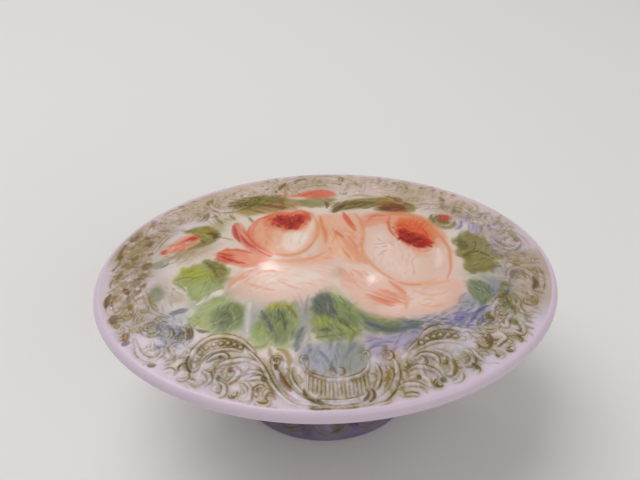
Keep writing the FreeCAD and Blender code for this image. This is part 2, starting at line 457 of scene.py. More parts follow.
def paint_left_rose(sheet):
    fill, pull, dab, dry = sheet.fill, sheet.stroke, sheet.patch, sheet.bristle
    fill("pale pink", [(-16.6, -5), (-14, -2.4), (-10, -0.8), (-5, -1.4), (1.4, 0.6), (2, -4), (0, -7),
        (-4, -9.6), (-9, -10.4), (-14, -9), (-16.4, -7)], 0.6, 3.2)
    fill("warm white", [(-12, -4), (-8, -2.6), (-2, -3), (0, -5.4), (-3, -8), (-9, -8.6), (-12, -7)], 0.7,
        3.0)
    pull("soft peach", 3.4, [(-3, -1.6), (0, -0.4), (2.4, 2), (2.6, 6)], soft=1)
    pull("peach", 3.0, [(-11.6, 0.4), (-8, -1), (-3.4, -1.4), (0.6, 0), (2.8, 3.4)], soft=1)
    pull("salmon", 1.6, [(-9.4, -0.2), (-6, -1), (-2.6, -0.6), (0, 1)], soft=1)
    pull("salmon", 2.2, [(-16.4, -6.8), (-15.7, -5), (-14.1, -3.6), (-12.4, -2.3)], 0.7, soft=1)
    dab("white", -3.6, -5.2, 2.6, 1.4, 0.5, 10)
    pull("light coral", 1.1, [(-10.8, -3), (-9.6, -3.1), (-8.3, -3.5)], soft=1)
    pull("salmon", 1.0, [(-8.4, -5.6), (-6.4, -7.2), (-4.2, -8.2)], 0.6, soft=1)
    pull("salmon", 1.3, [(-13.6, -5.6), (-11.4, -7), (-8.6, -8)], 0.5, soft=1)
    # a painted highlight: a glint of the glaze on the lower petals
    pull("warm white", 1.1, [(-13.1, -2.4), (-12, -1.6), (-10.5, -1)], 0.9, soft=0.8)
    fill("peach", [(-13, 8), (-12.6, 12), (-10, 14), (-6, 14.6), (-2, 13.4), (-0.8, 9), (-1.2, 4.6),
        (-3.8, 1.4), (-7.4, 0.8), (-11, 3)], 0.85, 1.0)
    fill("salmon", [(-12.9, 8.6), (-12.2, 12), (-9.6, 13), (-8.4, 10), (-9.4, 6), (-9.8, 2.8), (-12, 4.4)],
        0.6, 1.6)
    fill("warm white", [(-8, 3.2), (-6.6, 7.6), (-4.4, 8.4), (-2.6, 6.4), (-3.2, 3.6), (-5.4, 1.7)], 0.9,
        1.6)
    pull("warm white", 2.4, [(-3.4, 5.4), (-2.2, 8.6), (-1.9, 12.4)], 0.9, soft=1)
    dab("white", -4.4, 5.4, 2.0, 2.2, 0.7, 30)
    pull("coral", 2.3, [(-9.6, 14.2), (-11.8, 12.4), (-12.9, 10), (-12.8, 7), (-11.9, 4.6), (-10.4, 2.6),
        (-8.8, 1.2)], soft=1, side_paint="salmon")
    pull("amber", 1.5, [(-9.4, 1.6), (-7, 0.7), (-5, 0.8), (-3.3, 2), (-1.9, 4)], 0.75, soft=1)
    pull("amber", 1.3, [(-2.4, 3), (-1.1, 6.6), (-0.9, 9.4), (-1.2, 12)], 0.65, soft=1)
    pull("salmon", 0.9, [(-10.6, 9.8), (-10, 7), (-8.8, 4.6)], 0.6, soft=1)
    pull("orange", 2.2, [(-11, 13), (-8.6, 14.6), (-6, 14.4), (-4, 15), (-2.3, 13.8)])
    fill("coral", [(-10.6, 13.4), (-8.6, 14.4), (-5.8, 14), (-4, 14.6), (-1.9, 13.6), (-2.6, 10.6),
        (-4, 8.6), (-6.8, 8), (-8.6, 9.4), (-10.4, 11)], 0.8, 1.8)
    fill("red", [(-9.6, 12.6), (-8, 13.6), (-5.8, 13), (-4.2, 13.8), (-2.6, 13), (-3.2, 10.8), (-4.4, 9.2),
        (-6.4, 8.4), (-7.6, 10), (-9, 11)], 0.85, 1.0, ragged=1.4)
    dry(("dark red", "red", "dark red"), -6.3, 11.4, 2.5, 2.3, 75, 36, width=0.9, opacity=0.75, spread=90)
    dry(("orange", "coral", "salmon"), -6.2, 13.6, 4.0, 0.9, 15, 16, width=0.7, opacity=0.6)
    dry(("coral", "salmon", "light coral"), -9.6, 10.6, 1.2, 2.2, 70, 12, width=0.6, opacity=0.6)
    pull("orange", 0.7, [(-5.8, 14), (-5.7, 12.4), (-5.5, 11)])
    pull("coral", 0.7, [(-9.6, 12.4), (-8.7, 11.4), (-8, 10.4)])
    dab("orange", -3.1, 13.4, 0.7, 0.8, 0.9)
    pull("rose red", 4.0, [(-15.9, 12.4), (-15, 9), (-13.6, 6), (-11.6, 3), (-9.2, 0.7)], 0.95, soft=0.7,
        taper=0.35, side_paint="salmon")
    pull("red", 1.5, [(-16.5, 11.7), (-16.2, 9.4), (-15.6, 7.2), (-15, 5.6)], 0.7)
    pull("red", 0.8, [(-15, 8), (-13.8, 5.4), (-12, 3.2)])
    pull("coral", 0.8, [(-13.3, 11), (-13.6, 8), (-12.7, 5.4), (-11, 3)], soft=0.8)
    fill("light coral", [(-19.4, 2.8), (-17.4, 3.9), (-14, 3.2), (-10.2, 0.6), (-10, -1), (-13.4, -1.6),
        (-16.4, -0.8), (-18.8, 1)], 0.95, 0.8, ragged=0.8)
    dry(("brick", "rose red", "red"), -17, 1.6, 1.9, 1.3, -25, 16, width=0.9, opacity=0.7, spread=30)
    dry(("salmon", "light coral", "peach"), -13.4, 0.8, 2.6, 1.2, -25, 16, width=0.9, opacity=0.7,
        spread=30)
    pull("brick", 1.0, [(-18.9, 3), (-17.4, 3.6), (-15, 3.2), (-12.6, 2)])
    pull("red", 1.1, [(-18.4, 2.2), (-16.8, 0.9), (-15.2, -0.1), (-13.8, -0.7)])
    pull("salmon", 0.6, [(-17.4, 2.8), (-14.4, 1.4), (-11.4, -0.1)], soft=0.8)


def paint_middle_petals(sheet):
    fill, pull = sheet.fill, sheet.stroke
    fill("peach", [(0.4, 13), (2, 13.6), (4, 13), (7, 13), (7, 4), (6.6, -2), (4, -2), (1.6, 1), (0.6, 6)],
        0.75, 1.6)
    fill("peach", [(-1.2, 13), (1, 13), (2.4, 8), (3, 3), (2, 0), (-1.4, -0.6), (-0.8, 5)], 0.8, 1.6)
    pull("soft peach", 1.8, [(1, 6), (1.6, 2.6), (3.4, -1)], soft=1)
    pull("amber", 1.7, [(-0.3, 13), (-0.1, 9.6), (0.3, 6), (0.2, 3.4)], soft=1)
    pull("light coral", 1.4, [(0.8, 2.4), (1.1, 1.2), (1, 0)], soft=1)
    pull("salmon", 2.6, [(2.4, 8), (3.2, 5), (4.4, 2.4), (5.6, 0), (7, -2.8)], soft=0.8)
    pull("brick", 1.3, [(2.1, 7.4), (2.7, 6.2), (3.6, 5.2)], soft=1)
    pull("amber", 0.7, [(1.9, 8.4), (2.1, 5.8), (2.7, 3.2), (3.5, 0.6), (4.4, -1.4)], soft=0.8)
    pull("light coral", 0.8, [(4.2, 6), (5.1, 3.6), (5.6, 1.4)], soft=0.8)
    pull("coral", 1.9, [(4.1, 14), (4.6, 11.6), (5.2, 9.4), (5.9, 7)], 0.9, soft=0.8)
    pull("coral", 0.9, [(4.3, 13.4), (4.9, 11), (5.6, 8.8)])


def paint_right_rose(sheet):
    fill, pull, dab, dry = sheet.fill, sheet.stroke, sheet.patch, sheet.bristle
    fill("pale pink", [(1.8, -3.6), (6, -4), (9, -6), (14, -8.2), (20, -6.8), (22.6, -7), (22, -10),
        (20, -13), (15, -14.6), (9, -15.4), (5, -13.2), (3, -10)], 0.75, 2.4)
    fill("warm white", [(12, -9.4), (17, -9), (19.6, -9.6), (17.6, -12), (13, -13.2), (8, -13.6),
        (10, -12)], 0.7, 2.6)
    fill("salmon", [(7.2, 8), (7.6, 12.6), (12, 13.8), (18, 13), (21.4, 9), (22, 4), (19, 2), (13, 6),
        (10, 8)], 0.8, 1.6)
    fill("blush", [(6.8, 0), (7.6, 6), (9.6, 9), (12.2, 9), (13, 4), (16, 1.6), (19.6, 2.6), (21.4, 3),
        (21.2, -3), (18.6, -6.2), (13.6, -7.4), (9.6, -5)], 0.95, 1.4)
    fill("warm white", [(8, 1), (9, 6), (11, 6.4), (12.6, 1.6), (16, -0.6), (15, -5.6), (11.4, -5),
        (9, -2.6)], 0.5, 2.4)
    pull("warm white", 2.2, [(20, 2), (19.6, -1), (18.6, -3.6)], 0.95)
    dab("pale pink", 20.5, 4, 0.9, 1.4, 0.7)
    pull("peach", 1.3, [(9, -4.8), (11, -6.7), (13.4, -7.6), (16, -7.2), (18.8, -6)], soft=1)
    pull("amber", 1.5, [(6.2, 13.4), (7, 11), (7.3, 8), (7, 5), (6.5, 2.6), (6.6, 0.4)], 0.65, soft=1)
    pull("amber", 1.5, [(6.4, 1.6), (7.3, -1.8), (8.4, -3.8), (9.8, -5.6), (11.4, -6.9)], 0.6, soft=1)
    pull("peach", 1.8, [(10.4, -6.4), (12.4, -7.6), (15.2, -7.9), (18.4, -7.2), (20.6, -6.6)], 0.9, soft=1)
    pull("light coral", 0.8, [(11.4, -7.2), (13.4, -7.8), (15.6, -7.7)], 0.7, soft=1)
    pull("amber", 1.3, [(19.8, -6.6), (21, -4), (21.6, -1), (21.9, 2), (21.2, 5), (20.2, 8), (18.4, 11)],
        0.75, soft=1)
    pull("coral", 2.0, [(8.4, 10.6), (10, 12.4), (12.2, 12.4)], 0.6, soft=1)
    pull("amber", 2.2, [(12, 12.6), (15.4, 13), (18.6, 11.6), (20.4, 9)], 0.85, soft=1)
    fill("amber", [(13, 8), (14, 11.4), (17, 12), (19.8, 10), (20.4, 6), (19, 2.6), (16.6, 1.6), (13.8, 4)],
        0.9, 1.0)
    fill("orange", [(13.4, 8), (14.6, 10.8), (17, 10.6), (18.6, 8), (19.2, 5), (18, 2.4), (15.6, 2.4),
        (13.6, 4.8)], 0.8, 1.4)
    fill("red", [(13.3, 7.8), (14.8, 8.4), (16, 6.8), (17.6, 6.2), (19, 4.6), (18.4, 2.6), (17, 1.8),
        (15.2, 2.6), (13.4, 4.8)], 0.85, 1.1, ragged=1.4)
    dry(("dark red", "red", "dark red"), 14.8, 5.4, 1.2, 2.2, -60, 24, width=0.9, opacity=0.75)
    dry(("dark red", "red"), 17, 3.6, 1.9, 1.3, -25, 22, width=0.9, opacity=0.75)
    dry(("orange", "rose red", "coral"), 16.6, 9, 2.8, 1.8, 60, 22, width=0.6, opacity=0.6)
    pull("rose red", 0.8, [(15, 9.6), (15.8, 8.2), (17.2, 7.2)])
    pull("rose red", 0.7, [(17.8, 8.6), (18.6, 6.6), (18.8, 5)])
    pull("coral", 1.1, [(12.8, 12.4), (12.2, 9.8), (12.2, 7.2), (13, 4.8)])
    pull("light coral", 1.9, [(13.6, 4), (15.2, 2), (17, 0.8), (18.8, 1.6)], 0.8, soft=1)
    pull("peach", 2.2, [(15.2, 1), (17, -0.2), (18.6, 0)], 0.8, soft=1)
    dry(("mauve", "salmon"), 10.2, 2.2, 1.6, 2.6, -20, 9, width=0.4, opacity=0.7, spread=120)
    pull("peach", 0.6, [(14.4, -1.4), (14.7, -3.5), (14.3, -6)], 0.7, soft=0.8)
    pull("peach", 0.4, [(11.2, -1.8), (11.6, -3.6), (12.4, -5)], 0.5, soft=0.55)
    for points in [
        [(5.8, -9.8), (8.2, -11.4), (10.8, -12)],
        [(6.8, -9.2), (9, -10.6), (11.8, -12)],
        [(8, -8.6), (10.2, -10.2), (12.4, -11.4)],
        [(6.8, -10.8), (9, -12), (10.6, -12.6)],
    ]:
        pull("light coral", 1.3, points, 0.75)
    pull("coral", 0.5, [(6.4, -9.9), (8.6, -11.2), (10.6, -12)], 0.7, soft=0.55)
    pull("light coral", 1.7, [(10, -6.8), (11.4, -8.6), (12.6, -10)], 0.8, soft=1)
    pull("salmon", 2.0, [(11.6, -9), (12.4, -11), (12, -13.4)], 0.7, soft=1)
    pull("peach", 1.2, [(13.6, -9), (16, -10.2), (19, -9.8)], 0.6, soft=1)
    pull("peach", 1.0, [(13.8, -12), (16.6, -12.8), (19.4, -11.8)], 0.6, soft=1)
    pull("salmon", 2.2, [(2.2, -3.4), (3, -5.6), (4.8, -7.4)], 0.6, soft=1)
    pull("light coral", 1.0, [(4.2, -4), (5, -4.5), (5.8, -5.4)], 0.7, soft=1)
    dab("sage", 1.8, -4.4, 1.6, 2.2, 0.2, -30, soft=1.1)
    # a painted highlight: a glint of the glaze below the right rose
    pull("warm white", 1.5, [(6.8, -4.4), (7.4, -5.8), (6.6, -8.2)], 0.85)


def paint_back_sprigs(sheet):
    fill, pull, dab, dry = sheet.fill, sheet.stroke, sheet.patch, sheet.bristle
    fill("ochre", [(-16.6, 19), (-10, 20.6), (-4.4, 19.8), (-3.2, 17.4), (-6, 15.8), (-10, 15),
        (-13.8, 14.4), (-16, 16)], 0.75, 2.0)
    fill("moss", [(-18.4, 19.2), (-15, 22), (-9.6, 22.2), (-6.4, 20.4), (-10.4, 18), (-14, 17.2)], 0.9, 1.4)
    dry(("olive", "spring", "dark olive"), -13.6, 19.6, 4.2, 2.0, 15, 34, width=0.9, opacity=0.7, spread=40)
    pull("ochre", 1.6, [(-15.2, 20.4), (-12, 21.4), (-8.6, 21)], 0.7, soft=1)
    pull("bark", 1.9, [(-11.4, 18.6), (-9, 17.4), (-6.4, 16.4)], 0.85)
    pull("rust", 1.6, [(-7.8, 21), (-7.4, 18.4), (-7.4, 15.8)], 0.8, soft=1)
    pull("bark", 1.0, [(-14.2, 17.6), (-12, 15.8), (-10.4, 14.8)], 0.5, soft=1)
    for points in [
        [(-20.4, 16.6), (-19.6, 14.2), (-18.4, 12.2)],
        [(-17.4, 15.6), (-16.8, 14.4), (-16.2, 13.2)],
        [(-13.8, 14), (-13.2, 12.8), (-12.8, 11.8)],
    ]:
        pull("moss", 1.2, points, 0.75)
    pull("light coral", 2.2, [(-8.6, 21.8), (-6, 21.6), (-3, 21.2)], 0.85)
    fill("coral", [(-5, 21.4), (-3.4, 22.8), (-1, 23.8), (2, 23.2), (3.4, 20.8), (1, 19.8), (-2, 20)], 0.85,
        1.4)
    dry(("rose red", "brick", "salmon"), -1, 21.8, 3.4, 1.4, 15, 22, width=0.8, opacity=0.7, spread=40)
    fill("moss", [(-4.2, 19.4), (0, 20), (3, 19.4), (2, 17.6), (0.6, 16.4), (-2.8, 16.4)], 0.75, 1.4)
    pull("umber", 1.1, [(1, 18.6), (1.3, 17), (1.1, 15.4)], 0.85, soft=0.8)
    fill("moss", [(1.6, 14), (3.6, 17.4), (9, 19.4), (13, 19), (9.6, 15.8), (5, 14.6)], 0.85, 1.4)
    dry(("dark olive", "olive", "ochre", "umber"), 6.4, 16.8, 4.6, 1.6, 30, 34, width=0.9, opacity=0.7,
        spread=40)
    pull("umber", 1.9, [(2.1, 13.6), (3.2, 15.2), (4.6, 16.8)], 0.85, soft=0.8)
    pull("bark", 0.9, [(4, 15), (6, 15.6), (8, 16.6)], 0.7)
    pull("ochre", 1.2, [(5.4, 20.2), (8, 20.8), (11, 20)], 0.6, soft=1)
    fill("ochre", [(10.4, 17.6), (11.6, 19.4), (14.6, 20), (15.8, 18.4), (14.4, 16.8), (11.8, 16.6)], 0.9,
        1.0)
    pull("amber", 1.2, [(11.2, 18.2), (13, 18.6), (14.8, 18.2)], 0.7, soft=1)
    fill("olive", [(10, 14.6), (11.4, 17.4), (15, 18.2), (18, 16.4), (17, 13.6), (12.8, 13)], 0.8, 1.3)
    fill("bark", [(11.4, 15), (12.4, 16.8), (15, 17), (16.4, 15.4), (15.6, 14), (12.8, 13.6)], 0.8, 1.2)
    dry(("brick", "umber", "dark red"), 13.8, 15.4, 2.2, 1.4, 20, 18, width=0.8, opacity=0.7)
    dab("umber", 12.4, 15, 1.3, 1.0, 0.8)
    dab("rust", 15.2, 14.2, 1.3, 0.8, 0.6)
    dab("ochre", 17.4, 15.6, 1.6, 1.0, 0.6)
    pull("olive", 1.7, [(20.9, 13.2), (20.3, 11), (21.2, 9.2), (22.6, 8.4), (24.2, 9.2), (24.8, 11)], 0.85,
        soft=0.7)
    dab("moss", 22.4, 11.2, 2.4, 2.2, 0.85)
    dry(("olive", "umber", "ochre"), 21.8, 10.8, 1.8, 2.0, 60, 16, width=0.8, opacity=0.6)
    dab("rust", 22.6, 11, 1.2, 1.0, 0.9)
    dab("rose red", 23.2, 12.2, 1.5, 1.1, 0.9)
    pull("sage", 1.2, [(24.8, 13.4), (25.6, 15), (26.2, 17)], 0.7)
    pull("lavender", 1.5, [(24.2, 7.8), (25.5, 9.4), (26.4, 11.6)], 0.8)
    pull("steel", 0.7, [(24.8, 8), (26, 9.8)], 0.6, soft=0.55)
    dab("lavender", 28.2, 8.4, 1.6, 2.6, 0.5, -20)
    dab("lavender", 27.6, 12.4, 1.2, 1.8, 0.5, -20)


def paint_left_bud(sheet):
    fill, pull, dab, dry = sheet.fill, sheet.stroke, sheet.patch, sheet.bristle
    fill("salmon", [(-29.2, 4.8), (-27, 8), (-24, 10.2), (-22.2, 9.4), (-22.4, 6.6), (-25.6, 5)], 0.85, 1.0)
    pull("light coral", 2.0, [(-28.6, 5.4), (-26, 7.4), (-23.4, 9.6)], 0.7, soft=1)
    pull("light coral", 1.8, [(-28.2, 5), (-25.6, 5.8), (-23.4, 6.2)], 0.8)
    pull("brick", 1.2, [(-26.8, 6.4), (-25.4, 7.8), (-23.6, 8.8)], 0.8)
    dab("red", -23.8, 8.3, 1.4, 1.0, 0.8, 20)
    dab("rose red", -28.6, 5.2, 0.9, 0.8, 0.7)
    dry(("brick", "pale pink", "tan", "pale pink"), -26, 6.8, 2.6, 1.5, 35, 24, width=0.9, opacity=0.6,
        spread=30)
    fill("moss", [(-25.9, 10.6), (-23.6, 12.4), (-21, 12), (-19, 9.8), (-18.8, 7.6), (-20.6, 5.8),
        (-24.4, 5), (-21.8, 7.6), (-23, 10)], 0.8, 1.0)
    dry(("olive", "umber", "moss", "dark olive"), -20.8, 8.8, 1.8, 2.4, -50, 22, width=0.8, opacity=0.6)
    dry(("olive", "moss", "spring"), -23.4, 11.2, 2.2, 0.8, 10, 12, width=0.8, opacity=0.6)
    dry(("spring", "ochre", "olive"), -21.6, 9.8, 1.8, 1.8, -40, 18, width=0.9, opacity=0.6)
    pull("umber", 1.4, [(-21.2, 9.8), (-19.8, 9), (-19.6, 7.4)], 0.85, soft=0.8)
    pull("tan", 1.4, [(-23, 4.6), (-26, 3.6), (-29, 2.6)], 0.6, soft=1)
    pull("olive", 0.5, [(-19, 8), (-17.4, 7.2), (-16, 6.3)], 0.7, soft=0.55)
    dab("sage", -29, 1.4, 1.6, 1.3, 0.6)
    pull("slate", 0.6, [(-28.6, 0.6), (-27.6, 1.4), (-27.4, 2.2)], 0.5, soft=0.55)


def paint_left_leaves(sheet):
    fill, pull, dab = sheet.fill, sheet.stroke, sheet.patch
    fill("leaf", [(-26.6, -3.6), (-24.4, -0.6), (-21.6, 0.6), (-20.6, 1.8), (-18.4, 0.2), (-16.4, -2),
        (-17, -5.4), (-19, -7.2), (-21, -9.2), (-23, -7.6), (-23.4, -5.4), (-24.8, -4.6)], 0.85, 1.3, 1.5)
    dab("spring", -23, -1.2, 2.6, 1.5, 0.85)
    dab("spring", -21.4, -3, 3.0, 1.6, 0.9)
    dab("pale leaf", -21, -6.6, 1.4, 1.8, 0.75)
    fill("olive", [(-21.4, 1.4), (-19.6, 1), (-17, -1.4), (-17.2, -5), (-18.6, -4.4), (-19.4, -2),
        (-20.6, -0.6)], 0.65, 1.2)
    pull("dark olive", 0.7, [(-20.8, 0.8), (-19.4, -1), (-18.4, -3.6)], 0.75)
    pull("dark olive", 0.6, [(-19.2, -1.2), (-17.8, -1.4), (-16.8, -2.2)], 0.7)
    pull("olive", 0.6, [(-26, -3.5), (-24, -2.8), (-22, -3.2), (-19.8, -2.6)], 0.7, soft=0.8)
    pull("moss", 0.9, [(-25.9, -3.8), (-24.6, -4.8), (-23.4, -6.4)], 0.7)
    pull("olive", 0.5, [(-20.2, -3.4), (-20.6, -5.6), (-21.2, -7.6)], 0.5, soft=0.8)
    fill("leaf", [(-22.6, -12.8), (-20.6, -10.4), (-18.2, -8.4), (-15.6, -9.4), (-13.4, -11.6),
        (-13.6, -14.4), (-15.2, -16.4), (-18.4, -16.8), (-20.6, -15.2), (-22.2, -14.2)], 0.7, 1.4, 1.5)
    dab("pale leaf", -18.4, -10.4, 2.4, 1.3, 0.8, 20)
    fill("sage", [(-18.8, -11.6), (-15.6, -10.2), (-13.6, -12), (-14.2, -15), (-17, -16.4), (-19, -14.6)],
        0.75, 1.6)
    dab("pine", -16.6, -13.2, 1.3, 1.9, 0.6)
    dab("spring", -20.6, -13, 1.4, 1.0, 0.5)
    pull("moss", 0.9, [(-15.8, -9.8), (-14.4, -11.8), (-14, -14.6)], 0.7)
    pull("pale leaf", 0.7, [(-16, -11.4), (-15.2, -12.8), (-15, -14.4)], 0.6)
    pull("dark olive", 0.9, [(-21.2, -14.9), (-20.2, -15.5), (-18.8, -15.8)], 0.8, soft=0.8)
    # painted highlights: glints of the glaze between the leaves
    pull("white", 1.6, [(-21.6, -9.9), (-19.6, -8.4), (-17.4, -6.7)], 0.85)
    dab("white", -17.9, -7.6, 1.2, 0.8, 0.8, 30)
    pull("white", 2.0, [(-12.8, -10.2), (-13, -13), (-13, -16.6)], 0.55, soft=1)
    dab("sage", -28.4, -6, 1.5, 2.6, 0.7, 15)
    pull("moss", 1.0, [(-29.8, -5.4), (-29.2, -7.4), (-28, -9)], 0.6)
    dab("slate", -24.3, -10.8, 1.7, 0.7, 0.75, 10)
    dab("tan", -25, -7.8, 2.0, 1.4, 0.5, -20)
    dab("lavender", -27, -13.8, 2.4, 1.1, 0.7, -15)
    pull("steel", 1.0, [(-29, -12.4), (-27.8, -13.2), (-26.6, -14.6)], 0.6)
    pull("blue", 1.4, [(-23.7, -15.2), (-23.4, -16), (-23, -17)], 0.85, soft=0.7)


def paint_front_leaves(sheet):
    fill, pull, dab = sheet.fill, sheet.stroke, sheet.patch
    fill("leaf", [(-12.8, -17.4), (-11.6, -14), (-10.6, -12), (-8.4, -10.8), (-6.2, -11), (-4.8, -13.4),
        (-5, -16.6), (-6.2, -19.4), (-9, -19.8), (-11.8, -19.8)], 0.7, 1.4, 1.5)
    pull("spring", 1.7, [(-10, -12.1), (-8, -11.4), (-6.2, -11.9)], 0.9)
    fill("sage", [(-9.8, -12.8), (-7.6, -12.6), (-6.4, -15), (-7, -18.8), (-9, -18.8), (-10, -15.6)], 0.7,
        1.2)
    dab("leaf", -11.1, -17.2, 1.5, 1.9, 0.8)
    pull("slate", 1.4, [(-10.9, -12.2), (-10.3, -14), (-8.9, -16.8)], 0.85, soft=0.8)
    pull("pine", 1.3, [(-8.3, -12.2), (-7.5, -14), (-7.2, -16.8)], 0.8, soft=0.8)
    pull("olive", 1.0, [(-7, -11.5), (-6, -13), (-5.3, -14.6)], 0.8, soft=0.8)
    pull("moss", 0.9, [(-12, -19.4), (-10.8, -19.6), (-9.8, -18.8)], 0.7)
    pull("grass", 1.2, [(-6.4, -14.6), (-6, -16.8), (-6.6, -18.8)], 0.6, soft=1)
    fill("grass", [(-3, -16.4), (-3.2, -13), (-2.4, -10), (-0.6, -6.4), (0.9, -8.4), (2.8, -11), (4.6, -13),
        (5, -15.6), (4.2, -18.6), (0.6, -19.2), (-2.8, -19)], 0.75, 1.4, 1.5)
    pull("pale leaf", 2.0, [(0.7, -7.2), (1.6, -9.4), (2.5, -12)], 0.85)
    fill("slate", [(-2.8, -10.6), (-1, -8.8), (0.4, -11), (0.8, -14.2), (-0.6, -14.8), (-2.4, -13.2)], 0.75,
        1.2)
    pull("slate", 0.9, [(-0.6, -8), (0.2, -11.4), (0.6, -15)], 0.6)
    dab("spring", -1.5, -15.4, 1.9, 1.4, 0.7)
    dab("leaf", 2.8, -12.8, 1.6, 1.3, 0.6)
    dab("sage", 2.8, -15.2, 1.6, 2.0, 0.6)
    pull("spring", 1.4, [(0.6, -16.4), (2.4, -16.9), (4.2, -17.2)], 0.7, soft=1)
    pull("pine", 0.8, [(0.2, -12), (1.2, -14.8), (3.4, -17.6)], 0.75, soft=0.8)
    pull("olive", 0.7, [(-2.9, -18.5), (-0.5, -18.3), (2.7, -17.9)], 0.75)
    pull("moss", 0.9, [(3.5, -17.4), (3, -18.8), (2.3, -20.2)], 0.75)
    dab("pine", -1, -17.1, 1.4, 0.5, 0.7)
    pull("slate", 2.2, [(-4.4, -16.4), (-5.2, -18.4), (-5.7, -21)], 0.7, soft=1)
    pull("smoke", 1.0, [(-3.2, -9.4), (-3.7, -11.4), (-4, -14)], 0.6, soft=1)
    for points in [[(-6, -8.6), (-5.2, -11.4), (-4.4, -13.8)], [(-5, -8.8), (-4.5, -11), (-4.1, -13.4)]]:
        pull("mauve", 0.7, points, 0.65)
    fill("sage", [(4.6, -13.6), (7, -14), (10, -15.2), (13.8, -15.6), (13.4, -17.6), (9, -18.2),
        (5.2, -17.4)], 0.8, 1.2)
    pull("spring", 1.3, [(5.4, -14.4), (8, -15.2), (10.8, -15.8)], 0.65, soft=1)
    pull("slate", 2.0, [(5.2, -15.8), (8, -17.3), (10.5, -17.3), (13.6, -16.4)], 0.85)
    pull("steel", 1.0, [(4.6, -14), (5.6, -15.6), (7.4, -17)], 0.6)
    fill("blue grey", [(-5.6, -20), (0, -19.6), (4, -19.6), (4.4, -24), (0, -25.6), (-4, -24.4)], 0.55, 1.6)
    fill("sage", [(0.6, -20), (4.6, -19.6), (4.6, -23.6), (1.4, -25)], 0.35, 1.6)
    pull("steel", 1.2, [(-2.2, -20.9), (-1, -22.8), (0.3, -25.2)], 0.8)
    fill("lavender", [(5, -18.6), (9, -18.4), (14, -17.6), (13, -20), (9, -21.6), (5.4, -22)], 0.7, 1.6)
    pull("steel", 0.9, [(4.8, -22), (5.8, -20.6), (7.6, -19.8), (9.4, -19.8)], 0.65)


def paint_right_leaves(sheet):
    fill, pull, dab = sheet.fill, sheet.stroke, sheet.patch
    fill("moss", [(22.8, 2), (23.8, 4.8), (25.8, 7), (28.2, 6.8), (29.6, 4.2), (31, 0.4), (29.6, -2.6),
        (27.4, -4.4), (24.4, -4.8), (23.4, -1.6)], 0.85, 1.1, 1.5)
    dab("pine", 24.7, 3.2, 1.4, 2.0, 0.7)
    dab("olive", 24.7, -0.2, 1.2, 1.0, 0.75)
    dab("ochre", 28, -1, 1.9, 0.9, 0.5)
    dab("ochre", 27, 6, 1.3, 0.9, 0.5)
    pull("dark olive", 0.9, [(23.9, -0.3), (25.6, 1), (27.4, 1.3), (29.8, -0.8)], 0.8, soft=0.8)
    pull("olive", 1.4, [(24.4, -3.8), (27, -3.5), (29.2, -2.2)], 0.65, soft=1)
    pull("pine", 0.5, [(26, 1.2), (27, 3.2), (27.4, 5.4)], 0.6)
    fill("sage", [(22.6, -6.6), (25, -6.4), (27, -8), (26.6, -11), (24.4, -12.4), (23.2, -9.6)], 0.8, 1.2)
    fill("blue grey", [(26.4, -5.6), (29.8, -6), (30.8, -9), (28, -10.6), (26.4, -9)], 0.65, 1.4)
    dab("blue grey", 21.8, -11.6, 2.0, 1.6, 0.55)
    dab("sage", 28.6, -12, 1.4, 1.2, 0.7)
    dab("pine", 28.8, -15.6, 1.1, 0.8, 0.7)
    pull("violet", 1.1, [(30, -8.2), (29.2, -9.4), (27.9, -10.6)], 0.85, soft=0.8)
    pull("violet", 1.3, [(25.6, -12.2), (23.5, -13.8), (21.8, -15.9)], 0.85, soft=0.8)
    pull("steel", 1.5, [(25.6, -13.4), (24.4, -15), (22.8, -16.4)], 0.65)
    pull("blue", 1.2, [(21.2, -14.8), (20.3, -15.5), (19.2, -16.3)], 0.85, soft=0.8)
    pull("violet", 0.8, [(22.6, -9.4), (21.3, -10.8), (20.8, -12.1)], 0.6, soft=0.8)
    pull("slate", 1.2, [(20.6, -12.4), (18.8, -13.4), (17.2, -14.6)], 0.6)
    pull("umber", 1.2, [(29, -10.4), (29.5, -12.2), (29.6, -14.2)], 0.75, soft=0.8)
    pull("brick", 0.8, [(27.1, -14.2), (27.8, -14.2), (28.5, -14)], 0.7, soft=0.8)
    dab("olive", 25.2, -15, 0.8, 1.0, 0.6)
    fill("lavender", [(14, -14.8), (19, -13.6), (22, -13), (25, -15.6), (20, -17.2), (15, -17)], 0.5, 1.6)
    dab("lavender", 31, 4, 1.6, 3.0, 0.35, -10)


# ---------------------------------------------------------------- the lid's moulded border

# The border lies between two shares of the lid's radius. Its marks are brushed wider than their table says.
FRONT, BACK = 1, -1
BORDER = (0.78, 0.93)
BORDER_TOUCHES = 110
SHELL_RIBS = 16
MARK_SPREAD = 1.45

